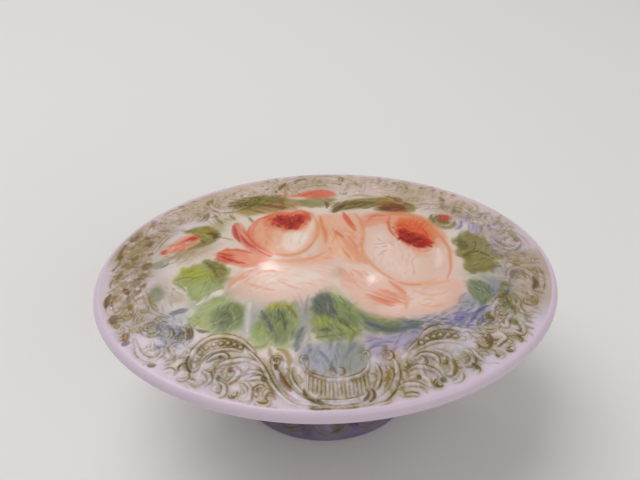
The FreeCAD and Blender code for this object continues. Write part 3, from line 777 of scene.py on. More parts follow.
# Ridges are (width, height, points), marks are (paint, width, points). All are for the front, and are
# pressed or brushed again at the back as a mirror image.
SHELL_RIDGES = [
    (0.8, 0.40, [(-4.7, -22.6), (-4.6, -23.8), (-3.8, -24.9), (-2.5, -25.7), (-0.5, -26.2), (2, -26.1),
        (4, -25.3), (4.9, -24), (4.9, -22.4)]),
    (0.9, 0.40, [(-3, -29.3), (0, -29.8), (3, -29.5), (4.2, -28.7), (4.7, -27.5)]),
    (1.1, 0.45, [(-8.7, -22.2), (-9, -23.4), (-8.4, -24.8), (-7.6, -26.5), (-6.3, -28.1), (-4.8, -29.3),
        (-2.5, -30.2)]),
    (0.9, 0.40, [(7.4, -24.1), (8.2, -25), (8.3, -26.2), (7.6, -27.6), (6.6, -29.2)]),
    (0.9, 0.40, [(8, -22.3), (8.9, -23.5), (9, -25.5), (8, -28), (6, -29.8), (3.4, -30.8)]),
    (0.7, 0.35, [(-13, -20), (-11.5, -21.8), (-10.3, -24), (-9.2, -26.5), (-7.5, -28.8), (-5.5, -30.2)]),
    (0.6, 0.30, [(-6.4, -23.6), (-6.5, -25.4), (-5.6, -27.2), (-4.4, -28.4)]),
    (0.6, 0.30, [(5.9, -23.4), (6.4, -25.2), (6, -27), (5, -28.6)]),
    (0.6, 0.25, [(-4.1, -30.5), (-2.5, -31), (0, -31.2), (2.8, -31.1), (5, -30.7), (7.8, -29.8)]),
]

LEFT_RIDGES = [
    (0.9, 0.42, [(-11.6, -20.9), (-12.6, -19.6), (-14.2, -18), (-16.5, -17), (-18.7, -17.1), (-20.4, -18.3),
        (-21.5, -20.3), (-21.6, -21.9), (-21, -22.8), (-20.2, -22.3), (-20.4, -21.5)]),
    (0.6, 0.32, [(-20, -21.8), (-19.5, -20.6), (-18.4, -19.8), (-16.8, -19.5), (-15, -19.7),
        (-13.6, -20.3)]),
    (0.8, 0.36, [(-19, -21.5), (-18, -20.7), (-16.8, -20.4), (-16, -20.9), (-16.2, -21.8)]),
    (0.9, 0.38, [(-17.7, -22.9), (-16.8, -22.1), (-15.4, -21.8), (-13.6, -21.7), (-12, -22.3),
        (-10.9, -23.3)]),
    (0.7, 0.32, [(-13.9, -24.4), (-13, -24), (-11.5, -24), (-10.4, -24.8)]),
    (0.7, 0.32, [(-13.2, -25.3), (-11.8, -25), (-10.8, -25.1), (-10, -25.8)]),
    (0.8, 0.34, [(-18.1, -26.4), (-17.4, -27.4), (-16.4, -27.3), (-16.2, -26), (-17, -25.1)]),
    (0.7, 0.30, [(-12.1, -26.4), (-12.2, -27.6), (-13, -28.4), (-14.1, -28.3)]),
    (0.7, 0.28, [(-11.7, -28.9), (-11, -29.6), (-10, -29.6), (-9.5, -28.9)]),
    (0.5, 0.22, [(-9.4, -30.2), (-8.8, -30.5), (-8.1, -30.3)]),
    (0.7, 0.30, [(-21.6, -25.1), (-20.9, -25.9), (-20.2, -26.2)]),
    (0.6, 0.28, [(-21.7, -24.2), (-21, -24.6), (-20.4, -24.8)]),
    (0.9, 0.36, [(-15.6, -23.4), (-14.6, -23.2), (-14.2, -24), (-14.8, -24.8), (-15.8, -25.6)]),
    (0.8, 0.34, [(-19.6, -23), (-18.6, -23.6), (-18.4, -24.8), (-19.2, -25.6)]),
    (0.8, 0.36, [(-30.7, -15.4), (-30.1, -17.2), (-29.5, -18.6), (-28.4, -19.6), (-27, -20), (-26.1, -19.3),
        (-26, -18.3), (-26.6, -17.5), (-27.4, -17.9)]),
    (0.7, 0.32, [(-25.5, -21.3), (-24.8, -20.8), (-23.8, -20.4)]),
    (0.7, 0.30, [(-25.7, -22.5), (-24.4, -22.2), (-23.7, -22.7)]),
    (0.6, 0.30, [(-30.8, -3), (-31, -4.5), (-30.3, -6), (-29.6, -8), (-28.6, -10), (-27, -11.2),
        (-25.5, -12)]),
    (0.8, 0.34, [(-30.1, -13.3), (-29, -14.8), (-27.8, -15.2), (-26.9, -14.6), (-27.3, -13.7)]),
    (0.7, 0.32, [(-22.8, -13.8), (-22, -15), (-21.6, -17.2)]),
    (0.6, 0.28, [(-23.6, -14.2), (-22.8, -15.2), (-22.5, -16.8)]),
    (0.6, 0.28, [(-25.3, -14.2), (-24.8, -15.4), (-25.4, -16.6)]),
    (0.8, 0.34, [(-33, -12.2), (-32.2, -13.4), (-32.4, -14.8), (-33.2, -15.4)]),
    (0.9, 0.36, [(-35.6, -5), (-36.2, -7), (-35.6, -9), (-34.4, -9.6), (-33.8, -8.6), (-34.5, -7.8)]),
    (0.8, 0.34, [(-33.4, -2.2), (-32.6, -4), (-32.9, -6), (-32, -7.6), (-31.4, -9.4), (-32, -10.8)]),
    (0.7, 0.30, [(-36.8, -1), (-36.4, -2.6), (-35.4, -3.4), (-34.6, -2.6)]),
]

RIGHT_RIDGES = [
    (0.9, 0.42, [(10.9, -21.8), (11.8, -20.9), (13.2, -19.6), (14.6, -18), (16.5, -17.1), (18.5, -17.1),
        (20.3, -17.7), (22, -17.6), (23.6, -18), (24.2, -19.4), (23.4, -20.6), (22.3, -20.3),
        (22.2, -19.4)]),
    (0.6, 0.32, [(12.4, -21.4), (14.2, -20.4), (16, -19.8), (18, -19.8), (19.8, -20.3)]),
    (0.8, 0.36, [(11.8, -23.1), (13.2, -22.3), (14.5, -22.3), (15.3, -22.9), (15.4, -24)]),
    (0.9, 0.38, [(14.9, -21.4), (16.6, -22), (17.3, -23.2), (17.4, -24.8), (16.8, -25.7), (15.9, -25.6)]),
    (0.7, 0.32, [(10.7, -24.9), (12, -24.3), (13.6, -24.6), (14.6, -25.1), (15.4, -26.1)]),
    (0.7, 0.32, [(9.9, -26.6), (11, -26.2), (12.2, -26), (13.2, -26.5), (13.6, -27.3), (14, -28.1)]),
    (0.7, 0.30, [(8.9, -27.7), (10.5, -27.2), (12, -27.4), (13, -28)]),
    (0.6, 0.28, [(9.4, -29.2), (10.6, -28.9), (11.8, -29.2)]),
    (0.8, 0.34, [(19.2, -21.4), (20.2, -21.6), (20.8, -22.8), (20.2, -24), (19.2, -24.2)]),
    (0.7, 0.32, [(20.4, -23.9), (21, -24.8), (20.4, -25.8)]),
    (0.7, 0.32, [(21, -20.9), (21.6, -22.5), (22.6, -23.4)]),
    (0.7, 0.30, [(18.6, -25.2), (18.2, -26.4), (17, -27.2)]),
    (0.7, 0.30, [(25.9, -17.5), (26.7, -18.8), (25.8, -19.6), (24.9, -20.6)]),
    (0.7, 0.30, [(26.1, -21.1), (27, -21.2), (27.6, -20.4)]),
    (0.7, 0.28, [(24.1, -22.3), (25, -22.5), (25.8, -22)]),
    (0.8, 0.34, [(28.4, -17.2), (29.4, -18), (30.2, -17), (29.8, -15.6), (28.6, -15.2)]),
    (0.8, 0.36, [(26.4, -15.8), (27.4, -16.6), (28, -15.2), (29.4, -13.4), (31, -12.6)]),
    (0.9, 0.38, [(30.4, -6.2), (31.2, -4), (32.8, -2.7), (34.5, -3.3), (35.4, -5), (35, -7), (33.6, -8.4)]),
    (0.8, 0.36, [(31.5, -7), (33, -8), (34, -9.6), (33.4, -11.3), (32.2, -11.2), (32.2, -10.3)]),
    (0.7, 0.32, [(30.4, -9.4), (31, -10.8), (30.6, -12.4), (31.4, -13.8), (32.6, -13.6)]),
    (0.8, 0.34, [(36.6, -2), (36.8, -4), (36.4, -6), (35.6, -8.4)]),
    (0.7, 0.32, [(31, -1.6), (32, -0.9), (33.2, -1.4), (34.4, -0.8), (35.6, -1.2)]),
]

SHELL_MARKS = [
    ("umber", 1.0, [(-8, -24.5), (-7.6, -26), (-6.5, -27.9)]),
    ("rust", 0.5, [(-7.7, -25.2), (-7.2, -26.4), (-6.6, -27.2)]),
    ("dark olive", 0.9, [(-4.7, -27.2), (-4.4, -28.4), (-3.3, -29.3), (-1.8, -30)]),
    ("dark olive", 0.6, [(4.3, -27.9), (4.5, -29), (3.6, -29.8)]),
    ("umber", 0.6, [(5, -27.6), (5.3, -29), (4.4, -30.1)]),
    ("umber", 0.4, [(-4.2, -30.5), (-2.5, -31), (0, -31.4)]),
    ("umber", 0.4, [(0.9, -31.4), (2.2, -31.4), (3, -31.1)]),
    ("rust", 0.3, [(-4.4, -24.4), (-3.4, -25.4), (-2, -26.1)]),
    ("olive", 0.9, [(2, -26.4), (3.6, -26.4), (4.8, -25.6)]),
    ("ochre", 0.9, [(6.6, -26.6), (7.6, -26.2), (8.2, -24.6)]),
]

LEFT_MARKS = [
    ("dark olive", 0.6, [(-17.2, -20.6), (-16.9, -21), (-16.5, -21.2)]),
    ("dark olive", 1.0, [(-15.7, -22.8), (-15.4, -23.2), (-15.7, -23.7)]),
    ("dark olive", 0.7, [(-16.9, -24), (-17.1, -24.5), (-16.9, -25)]),
    ("dark olive", 0.5, [(-11.4, -26.7), (-11.3, -27.1), (-11.5, -27.5)]),
    ("umber", 0.7, [(-10.9, -25), (-10.4, -25.3), (-10, -25.7)]),
    ("dark olive", 1.2, [(-21.8, -20), (-21.9, -21.6), (-21.2, -23)]),
    ("dark olive", 0.8, [(-28, -20.9), (-27.3, -21.1), (-26.6, -21)]),
    ("umber", 1.7, [(-35.2, -9.8), (-34.8, -10.8), (-34.4, -11.8)]),
    ("olive", 1.1, [(-34.2, -11.4), (-34, -12.2), (-33.8, -13)]),
    ("plum", 1.1, [(-32.6, -16), (-32, -16.2), (-31.6, -15.6)]),
    ("rust", 1.2, [(-32.4, -14), (-32.2, -15), (-32.3, -15.8)]),
    ("umber", 1.0, [(-36.4, -4.4), (-36.7, -6), (-36.6, -8)]),
    ("umber", 1.0, [(-34.3, -3.6), (-33.7, -4.4), (-33.4, -5.4)]),
    ("olive", 0.9, [(-32.8, -7.6), (-32.5, -8.5), (-32.5, -9.3)]),
    ("olive", 0.9, [(-28.9, -14.9), (-28.2, -15.1), (-27.4, -14.9)]),
    ("dark olive", 0.8, [(-22.2, -14.6), (-21.8, -15.8), (-21.7, -17)]),
    ("dark olive", 0.7, [(-20.8, -15.1), (-20.2, -15.5), (-19.4, -15.7)]),
    ("ochre", 0.9, [(-8.6, -20.1), (-7.4, -20.7), (-6.7, -22), (-6.8, -24)]),
    ("dark olive", 0.9, [(-8.9, -23), (-8.6, -23.6), (-8.9, -24)]),
]

RIGHT_MARKS = [
    ("dark olive", 1.1, [(15.3, -26.2), (15.6, -26.6), (15.4, -27.1)]),
    ("dark olive", 0.7, [(11.8, -25.9), (12.1, -26.1), (12.5, -26.2)]),
    ("umber", 0.6, [(20.4, -23.8), (20.9, -24.5), (21, -25)]),
    ("dark olive", 0.6, [(24.3, -22.2), (24.7, -22.4), (25, -22.3)]),
    ("dark olive", 0.6, [(26.2, -21.3), (26.8, -21.4), (27.3, -21.2)]),
    ("umber", 0.8, [(23.8, -18.4), (24.3, -19.4), (23.6, -20.6)]),
    ("umber", 0.9, [(35.2, -4.6), (35.2, -6.4), (34.2, -8)]),
    ("smoke", 0.9, [(31.2, -5.6), (31.8, -4.2), (33, -3.4)]),
    ("olive", 0.8, [(33.6, -9.4), (33.7, -10.8), (32.8, -11.6)]),
    ("olive", 0.8, [(17.6, -23), (17.8, -24.6), (17.2, -26)]),
]

LEFT_BEADS = [
    (-20.7, -20.9), (-20.1, -19.7), (-19.2, -18.9), (-18.1, -18.4), (-17, -18.3), (-15.9, -18.4),
    (-14.9, -18.8), (-14, -19.4),
]
RIGHT_BEADS = [
    (13.4, -20.1), (14.4, -19.3), (15.5, -18.9), (16.6, -18.6), (17.8, -18.6), (18.9, -18.8), (20, -19.2),
]


def far_parts(sheet):
    """1 at the back and at both ends of the lid, where the border is brushed more loosely; 0 in front."""
    ends = smooth(np.abs(sheet.x), 25, 31) * smooth(sheet.y, -16, -8)
    return np.maximum(ends, smooth(sheet.y, 8, 20))


def lid_ground(sheet):
    """Cream in the middle, cooler and cloudier under the border, tan at the back with painted reflection,
    mauve on the edge.
    """
    rho = np.hypot(sheet.x, sheet.y / OVAL) / LID_RADIUS
    cloud = drift(sheet.x / 5, sheet.y / 5) - 0.5
    outer = smooth(rho + 0.08 * cloud, 0.6, 0.8)[..., None]
    reach = 0.022 * smooth(np.abs(sheet.x), 28, 36)
    band = smooth(rho - reach + 0.008 * cloud, 0.945, 0.965)[..., None]
    cool = smooth(drift(sheet.x / 6 + 50, sheet.y / 6), 0.35, 0.8)[..., None]
    middle = mixed(paint_of("cream"), paint_of("white"), 0.3 * cool)
    border = mixed(paint_of("bone"), paint_of("lilac"), 0.6 * cool)
    border = mixed(border, paint_of("tan"), far_parts(sheet)[..., None] * (0.15 + 0.4 * cool))
    # pale tan at the back: a painted reflection of the warm surroundings
    border = mixed(border, paint_of("pale tan"), 0.55 * smooth(sheet.y, 10, 22)[..., None])
    sheet.colour[:] = mixed(mixed(middle, border, outer), paint_of("lip"), band)


# Bristled ovals are (paints, x, y, half length, half width, heading, count).
LEAF_BRISTLES = [
    (("spring", "leaf", "moss", "pale leaf"), -22, -2.6, 4.0, 2.8, 25, 34),
    (("olive", "pine", "moss"), -18.8, -1.6, 1.8, 3.0, -60, 16),
    (("leaf", "pale leaf", "sage"), -20.6, -6.4, 2.0, 2.2, 60, 14),
    (("pale leaf", "leaf", "spring", "sage"), -19.4, -12, 3.0, 3.0, 35, 30),
    (("sage", "pine", "grass"), -16, -13, 2.4, 3.0, 60, 24),
    (("leaf", "moss", "pine", "spring"), -8.6, -15, 3.2, 4.0, 75, 46),
    (("slate", "pine"), -9.4, -15, 1.6, 2.6, -70, 10),
    (("grass", "leaf", "sage", "spring"), 1, -15.2, 3.6, 3.6, -60, 50),
    (("slate", "blue grey", "pine"), -1, -11.6, 1.6, 2.6, -75, 20),
    (("sage", "slate", "grass"), 8.8, -16, 4.4, 1.6, -15, 28),
    (("slate", "steel", "blue grey"), -4.8, -18.8, 1.8, 2.6, 70, 16),
    (("blue grey", "lavender", "sage", "mist"), 0, -22, 4.4, 2.6, 70, 34),
    (("moss", "olive", "ochre", "pine"), 26.8, 1.2, 3.6, 5.2, 40, 60),
    (("sage", "pine", "slate"), 25, -9, 2.2, 3.0, -60, 22),
    (("slate", "steel", "violet", "sage"), 24.6, -13.6, 4.6, 2.8, 40, 40),
    (("steel", "lavender", "slate"), 16, -16, 6.6, 1.3, 10, 34),
    (("lavender", "steel", "mist"), 9.4, -19.6, 4.6, 1.5, 20, 24),
    (("lavender", "steel", "slate", "moss"), -27, -13.4, 3.6, 2.4, -50, 26),
    (("tan", "moss", "sage", "lavender"), -27.6, -7, 3.2, 3.0, -60, 24),
    (("moss", "rust", "olive", "ochre"), -11.6, 19.4, 5.2, 2.0, 10, 46),
    (("bark", "rust"), -9, 16.8, 4.4, 1.8, -25, 30),
    (("rust", "moss", "umber"), 6.6, 17, 4.6, 1.5, 20, 28),
    (("bark", "umber", "ochre", "rust"), 13.6, 16.4, 3.0, 2.8, 20, 28),
    (("moss", "tan", "sage"), 19.6, 15.2, 3.4, 1.6, 20, 18),
    (("lavender", "mauve", "steel"), 27, 10.4, 2.4, 3.6, 60, 26),
    (("tan", "moss", "olive"), -19, 14.6, 3.0, 2.6, -65, 18),
    (("tan", "sage", "moss"), -26.4, 2.4, 3.0, 2.0, 30, 16),
    (("steel", "violet", "slate"), 17, -15.6, 7.0, 1.4, 12, 46),
    (("blue", "violet", "steel"), 22.4, -15, 3.6, 2.0, 40, 30),
    (("violet", "steel", "lavender"), -25, -13.6, 4.4, 2.2, -40, 30),
    (("blue", "violet"), -23.2, -16, 1.4, 1.2, 80, 10),
    (("slate", "pine", "blue grey"), -8.6, -14.6, 2.8, 3.2, 80, 28),
    (("slate", "pine", "steel"), 0.4, -13.6, 3.2, 4.0, -70, 30),
    (("slate", "pine"), -16.6, -13, 2.2, 2.6, 70, 16),
    (("pine", "slate", "sage"), 27.4, -11.4, 3.0, 3.4, 50, 30),
    (("mist", "pale leaf", "white"), -18, -12.6, 3.8, 3.4, 40, 20),
    (("mist", "pale leaf"), -8.6, -15.4, 3.4, 4.2, 80, 20),
    (("mist", "pale leaf", "sage"), 1.4, -15, 3.8, 4.0, -60, 22),
    (("pale leaf", "mist", "ochre"), -21.6, -3.4, 4.0, 3.6, 30, 14),
    (("olive", "dark olive", "umber"), 26.4, 3, 3.2, 3.6, 40, 22),
    (("pale leaf", "sage", "ochre"), 27, 1.6, 3.4, 4.8, 40, 12),
    (("mist", "lavender", "sage"), 10, -17.4, 6.0, 1.8, 5, 22),
    (("tan", "ochre", "sage", "smoke"), -25.4, 3.6, 4.0, 1.8, 25, 26),
    (("spring", "spring", "ochre", "leaf"), -22.6, -2.4, 3.2, 2.0, 30, 34),
    (("spring", "pale leaf"), -21, -5.4, 1.6, 2.4, 60, 14),
    (("spring", "ochre", "leaf"), -8.4, -13.4, 2.6, 2.6, 70, 18),
    (("brick", "rust"), 28.2, -12.8, 1.6, 1.8, 30, 8),
    (("umber", "dark olive"), -11, 19.6, 4.6, 1.4, 15, 20),
    (("umber", "dark olive", "bark"), 6, 17, 4.6, 1.2, 25, 18),
    (("umber", "dark red"), 13.4, 15.6, 2.2, 1.4, 20, 14),
]
PETAL_BRISTLES = [
    (("pale pink", "salmon", "warm white", "white"), -12, -5, 3.8, 3.0, 30, 30),
    (("soft peach", "peach", "warm white"), -3.4, -4.6, 4.8, 3.4, -20, 34),
    (("salmon", "peach", "light coral"), -10.8, 7.6, 1.8, 4.4, 80, 22),
    (("peach", "salmon"), -4, -0.6, 5.0, 1.2, 10, 16),
    (("warm white", "blush", "peach"), -4.4, 5.6, 2.2, 3.2, 70, 14),
    (("salmon", "light coral", "peach"), 2, 7, 1.6, 5.0, 85, 20),
    (("salmon", "light coral", "amber"), 5, 4, 1.8, 6.0, -75, 26),
    (("light coral", "peach", "salmon"), 10.4, 11, 2.8, 1.8, 30, 16),
    (("blush", "warm white", "salmon", "pale pink"), 12.6, -1, 4.6, 5.4, 75, 44),
    (("amber", "orange", "coral"), 17.2, 8.6, 2.4, 2.6, 60, 24),
    (("rose red", "red", "dark red", "orange"), 16, 4.6, 2.4, 2.0, 40, 18),
    (("pale pink", "salmon", "peach"), 16, -10.6, 5.6, 2.4, 10, 34),
    (("salmon", "light coral"), 9.4, -10.8, 3.2, 1.8, -25, 22),
    (("pale pink", "peach", "salmon"), 4.6, -6.6, 2.6, 2.8, -50, 20),
    (("red", "rose red", "dark red"), -6.2, 11.2, 2.8, 1.8, 80, 18),
    (("coral", "orange", "light coral"), 0, 21.6, 2.6, 1.3, 20, 14),
]


def paint_flowers(sheet):
    for paint, x, y, rx, ry, opacity, turn in HAZES:
        sheet.patch(paint, x, y, rx, ry, opacity, turn, soft=1.1)
    paint_left_leaves(sheet)
    paint_front_leaves(sheet)
    paint_right_leaves(sheet)
    paint_back_sprigs(sheet)
    for oval in LEAF_BRISTLES:
        sheet.bristle(*oval)
    paint_left_bud(sheet)
    paint_rose_ground(sheet)
    paint_middle_petals(sheet)
    paint_left_rose(sheet)
    paint_right_rose(sheet)
    for oval in PETAL_BRISTLES:
        sheet.bristle(*oval, width=0.7, opacity=0.5, spread=40)


def press_shell_ribs(sheet, side):
    """Fine ribs that fan between the shell's two rims."""
    for k in range(SHELL_RIBS):
        x = -4.0 + 8.4 * k / (SHELL_RIBS - 1)
        top = -26.5 + 0.11 * (x - 0.6) ** 2
        bottom = -29.0 + 0.06 * (x - 0.6) ** 2
        sheet.ridge(0.32, 0.2, flipped([(x, top), (x * 1.05, bottom)], side), wash=0.45)


# Fronds between the scrolls: size, how many are tried, and between which shares of the lid's radius.
FILLING = [(2.0, 260, 0.81, 0.89), (1.4, 500, 0.79, 0.91), (0.9, 900, 0.78, 0.925), (0.5, 1500, 0.77, 0.935)]
EMPTY_HEIGHT = 0.04
FLUTE_SPACING = 0.42
FLUTE_WIDTH = 0.46


def press_frond(sheet, x, y, heading, size, hand):
    """A half palmette round (x, y): nested flutes that leave one point and curl over to one side."""
    a = math.radians(heading)
    along, across = np.array([math.cos(a), math.sin(a)]), np.array([-math.sin(a), math.cos(a)]) * hand
    base = np.array([x, y]) - across * size
    flutes = max(2, round(size / FLUTE_SPACING))
    for k in range(flutes):
        r = size * (1 - 0.8 * k / flutes)
        t = np.linspace(0, math.radians(230 - 60 * k / flutes), 8)[:, None]
        path = base + along * r * np.sin(t) + across * r * (1 - np.cos(t))
        sheet.ridge(FLUTE_WIDTH, 0.12 + 0.05 * size, path, taper=0.5, wash=0.75)


def round_lid(count, near, far, start=0.0):
    """Places spread all the way round the lid, between two shares of its radius: x, y and turn."""
    for k in range(count):
        turn = k * GOLDEN_TURN + start
        reach = LID_RADIUS * (near + (far - near) * rng.random())
        yield reach * math.cos(turn), OVAL * reach * math.sin(turn), turn


def press_filling(sheet):
    """Fronds wherever the border is still empty: the large ones first, then ever smaller ones."""
    for size, tries, near, far in FILLING:
        for x, y, turn in round_lid(tries, near, far, size):
            hand = 1 if rng.random() < 0.5 else -1
            heading = math.degrees(turn) + 90 + 70 * (rng.random() - 0.5)
            heading += 180 if rng.random() < 0.5 else 0
            place, px, py = sheet.window((x - size, y - size), (x + size, y + size))
            if (sheet.relief[place] * (np.hypot(px - x, py - y) < size)).max() < EMPTY_HEIGHT:
                press_frond(sheet, x, y, heading, size * 0.95, hand)


def brush_border(sheet):
    """Soft touches of brown and olive over the moulding, all the way round."""
    paints = ("olive", "umber", "ochre", "tan", "moss", "smoke")
    for x, y, _ in round_lid(BORDER_TOUCHES, *BORDER):
        sheet.bristle(paints, x, y, 1.6, 1.6, math.degrees(math.atan2(y, x)), 4, 0.9, 0.35)


# More bristled ovals, with width and opacity last: the mottle at both ends of the lid, then in front.
END_BRISTLES = [
    (("olive", "ochre", "tan", "moss", "umber"), -33.8, 1.5, 3.2, 12, 65, 120, 1.3, 0.5),
    (("mauve", "pale tan", "lip"), -33.4, 4, 3.2, 13, 65, 46, 1.5, 0.5),
    (("olive", "ochre", "umber", "moss", "tan"), -33, 0.5, 2.6, 11.5, 50, 40, 2.1, 0.5),
    (("smoke", "tan", "olive", "mauve"), 33.4, 2, 3.0, 12, 65, 70, 1.2, 0.4),
    (("lavender", "steel", "mist", "pale tan"), 32, 3, 3.4, 11, 65, 70, 1.2, 0.45),
]
FRONT_BRISTLES = [
    # the first oval's pale touches on the front left are partly a painted highlight of the glaze
    (("mist", "white", "lip"), -24, -18.4, 6.4, 3.0, -30, 40, 1.4, 0.4),
    (("steel", "mist", "slate"), 0, -21.6, 5.0, 2.6, 75, 30, 0.9, 0.3),
    (("olive", "smoke", "umber", "moss"), -8.2, -24.4, 2.8, 3.8, 110, 30, 1.2, 0.4),
    (("olive", "smoke", "umber", "moss"), 9.0, -24.4, 3.2, 3.8, 70, 30, 1.2, 0.4),
    (("smoke", "tan", "olive"), 0.2, -27.6, 5.4, 2.0, 90, 36, 1.0, 0.4),
    (("smoke", "mist", "tan"), -16, -23, 6.0, 2.6, -15, 30, 1.4, 0.3),
    (("smoke", "mist", "tan"), 17.4, -22.6, 6.0, 2.6, 15, 30, 1.4, 0.3),
    (("pine", "leaf", "moss"), 29.4, -11.4, 1.6, 4.0, 60, 16, 1.0, 0.5),
    (("violet", "steel", "blue"), 17, -17.4, 6.0, 1.6, 10, 18, 0.9, 0.35),
    (("steel", "violet", "blue"), -24.6, -16.4, 2.6, 2.2, -40, 14, 0.9, 0.45),
]

# Curls of the shell's rim and its supports: x, y, radius, start angle and turns.
SHELL_CURLS = [
    (-4.4, -22.4, 0.7, -90, -0.9), (4.6, -22, 0.7, -90, 0.9), (-8.6, -22.4, 0.9, 0, 1.2),
    (8, -22.4, 0.9, 180, -1.2),
]


def press_border(sheet):
    """The moulded scrolls, with their wash: strongest in front, thinner at both ends and at the back."""
    for side in (FRONT, BACK):
        for width, height, points in SHELL_RIDGES + LEFT_RIDGES + RIGHT_RIDGES:
            sheet.ridge(width, height, flipped(points, side))
        press_shell_ribs(sheet, side)
        for x, y in LEFT_BEADS + RIGHT_BEADS:
            sheet.bead(x, y * side)
        for place in SHELL_CURLS:
            sheet.ridge(0.5, 0.35, flipped(curl(*place), side))
    press_filling(sheet)
    sheet.settle(1.3 - 0.6 * far_parts(sheet) - 0.3 * smooth(sheet.y, 10, 22))
    for oval in END_BRISTLES:
        sheet.bristle(*oval)
    brush_border(sheet)
    for oval in FRONT_BRISTLES:
        sheet.bristle(*oval)
    for side, opacity in ((FRONT, 0.85), (BACK, 0.5)):
        for paint, width, points in SHELL_MARKS + LEFT_MARKS + RIGHT_MARKS:
            sheet.stroke(paint, width * MARK_SPREAD, flipped(points, side), opacity, soft=0.7)


def make_lid_sheet():
    """The lid's painting and moulding in plan, a little larger than the lid."""
    margin = 1.0
    corner = np.array((LID_RADIUS, LID_RADIUS * OVAL)) + margin
    sheet = Sheet(-corner, corner)
    lid_ground(sheet)
    paint_flowers(sheet)
    press_border(sheet)
    rho = np.hypot(sheet.x, sheet.y / OVAL)
    sheet.relief *= smooth(rho, BAND_INNER + 1.4, BAND_INNER + 0.2)
    return sheet


# ---------------------------------------------------------------- the bowl's painting


def bowl_ground(sheet, height):
    """Violet-grey on the foot, partly painted shade under the lid, pale lilac over the belly, mauve under
    the mouth.
    """
    cloud = drift(sheet.x / 5, sheet.y / 5) - 0.5
    foot = smooth(sheet.y + 5 * cloud, 13, 6)[..., None]
    mouth = smooth(sheet.y + 2 * cloud, height - 3.5, height - 1.5)[..., None]
    cool = smooth(drift(sheet.x / 7 + 40, sheet.y / 7), 0.3, 0.8)[..., None]
    belly = mixed(paint_of("bone"), paint_of("lilac"), cool)
    # the foot's dark violet-grey is partly painted shade under the lid
    lilac = mixed(paint_of("shaded foot lilac"), paint_of("blue grey"), 0.4 * cool)
    sheet.colour[:] = mixed(mixed(belly, lilac, foot), paint_of("lip"), mouth)


def placed(points, x, y, hand=1):
    """The points moved to (x, y), mirrored from left to right for hand -1."""
    return [(x + hand * px, y + py) for px, py in points]


# The lobes round the foot and the swags under the mouth, for one hand. Ridges are (width, height, points).
FOOT_RIDGES = [
    (0.8, 0.4, [(0, 1.4), (2.2, 1.6), (4.6, 2.6), (5.8, 4.6), (5.2, 6.2), (4.4, 5.4)]),
    (0.6, 0.3, [(0.6, 7), (2.2, 8), (4, 8), (5.4, 9.2)]),
]
SWAG = [(-4.7, -1.6), (-3.8, -3.8), (-2, -5), (0, -5.4), (2, -5), (3.8, -3.8), (4.7, -1.6)]
SWAG_END = [(5.3, -3), (5, -5.2), (3.6, -6.6)]


def press_foot_lobe(sheet, x):
    """One lobe of the moulding round the foot: a swag between two fronds, with a bead."""
    for hand in (1, -1):
        press_frond(sheet, x + hand * 2.3, 4.4, 90, 1.9, -hand)
        for width, height, points in FOOT_RIDGES:
            sheet.ridge(width, height, placed(points, x, 0, hand))
    sheet.bead(x, 6.8, 0.6, 0.35)


def press_mouth_swag(sheet, x, top):
    """One swag of the moulding under the mouth, hung between two curls, with fronds and beads on it."""
    sheet.ridge(0.8, 0.4, placed(SWAG, x, top))
    for k in range(-3, 4):
        sheet.bead(x + 0.95 * k, top - 4.4 + 0.08 * k * k, 0.38)
    for hand in (1, -1):
        sheet.ridge(0.5, 0.32, curl(x + hand * 4.6, top - 1.2, 0.8, -90, hand * 0.95))
        press_frond(sheet, x + hand * 1.7, top - 1.9, 90, 1.25, -hand)
        sheet.ridge(0.5, 0.25, placed(SWAG_END, x, top, hand))
    press_frond(sheet, x + 5.6, top - 7.6, 90, 0.8, 1)


def paint_spray(sheet, x, y, hand):
    """A rosebud with leaves and small blue flowers."""
    def at(points):
        return placed(points, x, y, hand)

    sheet.stroke("moss", 0.6, at([(-9, -3.6), (-4, -2.4), (0, -0.6), (5, 0.4), (10, -0.6)]), 0.8)
    sheet.fill("leaf", at([(-1, -1), (-3.4, -3.8), (-6.8, -4.8), (-5.4, -2), (-3, -0.4)]), 0.85, 0.9)
    sheet.fill("sage", at([(2, -0.6), (3.6, -3.4), (7, -4.6), (6, -1.6), (4, 0)]), 0.85, 0.9)
    sheet.fill("grass", at([(4, 0.6), (6.4, 3.4), (9.6, 3.6), (8, 0.8)]), 0.8, 0.9)
    sheet.fill("moss", at([(-4, -1.6), (-6.8, 0.8), (-10, 1), (-8, -1.6)]), 0.8, 0.9)
    sheet.bristle(("leaf", "pine", "spring", "sage"), x - hand * 4, y - 2.4, 3.0, 1.6, 30, 18)
    sheet.bristle(("grass", "pine", "slate"), x + hand * 5.6, y - 1.4, 3.0, 2.2, -30, 22)
    sheet.fill("peach", at([(-2.6, 0.6), (-2.4, 3.6), (0, 5), (2.6, 3.8), (2.6, 0.8), (0, -0.8)]), 0.9, 0.9)
    sheet.fill("warm white", at([(-1, 0.8), (-0.6, 2.4), (1, 2.6), (1.4, 0.8)]), 0.7, 1.0)
    sheet.stroke("coral", 1.1, at([(-2.4, 4), (-2.7, 1.6), (-1.4, -0.2), (0.4, -0.7)]), side_paint="salmon")
    sheet.stroke("light coral", 1.0, at([(2.4, 4), (2.8, 1.8), (1.6, 0), (0.2, -0.7)]))
    sheet.patch("red", x, y + 3.9, 1.5, 0.9, 0.9)
    sheet.patch("dark red", x + hand * 0.3, y + 4, 0.8, 0.5, 0.9)
    sheet.stroke("rose red", 1.0, at([(-4.2, 3), (-3.2, 1), (-1.8, -0.4)]), soft=0.8)
    for px, py in at([(-9.6, 3.4), (10.8, -2.4), (-11.4, -1.6), (12.4, 1.8)]):
        sheet.bristle(("blue", "steel", "lavender"), px, py, 0.9, 0.9, 0, 7, width=0.7, spread=360)
        sheet.patch("spring", px, py, 0.3, 0.3, 0.8)


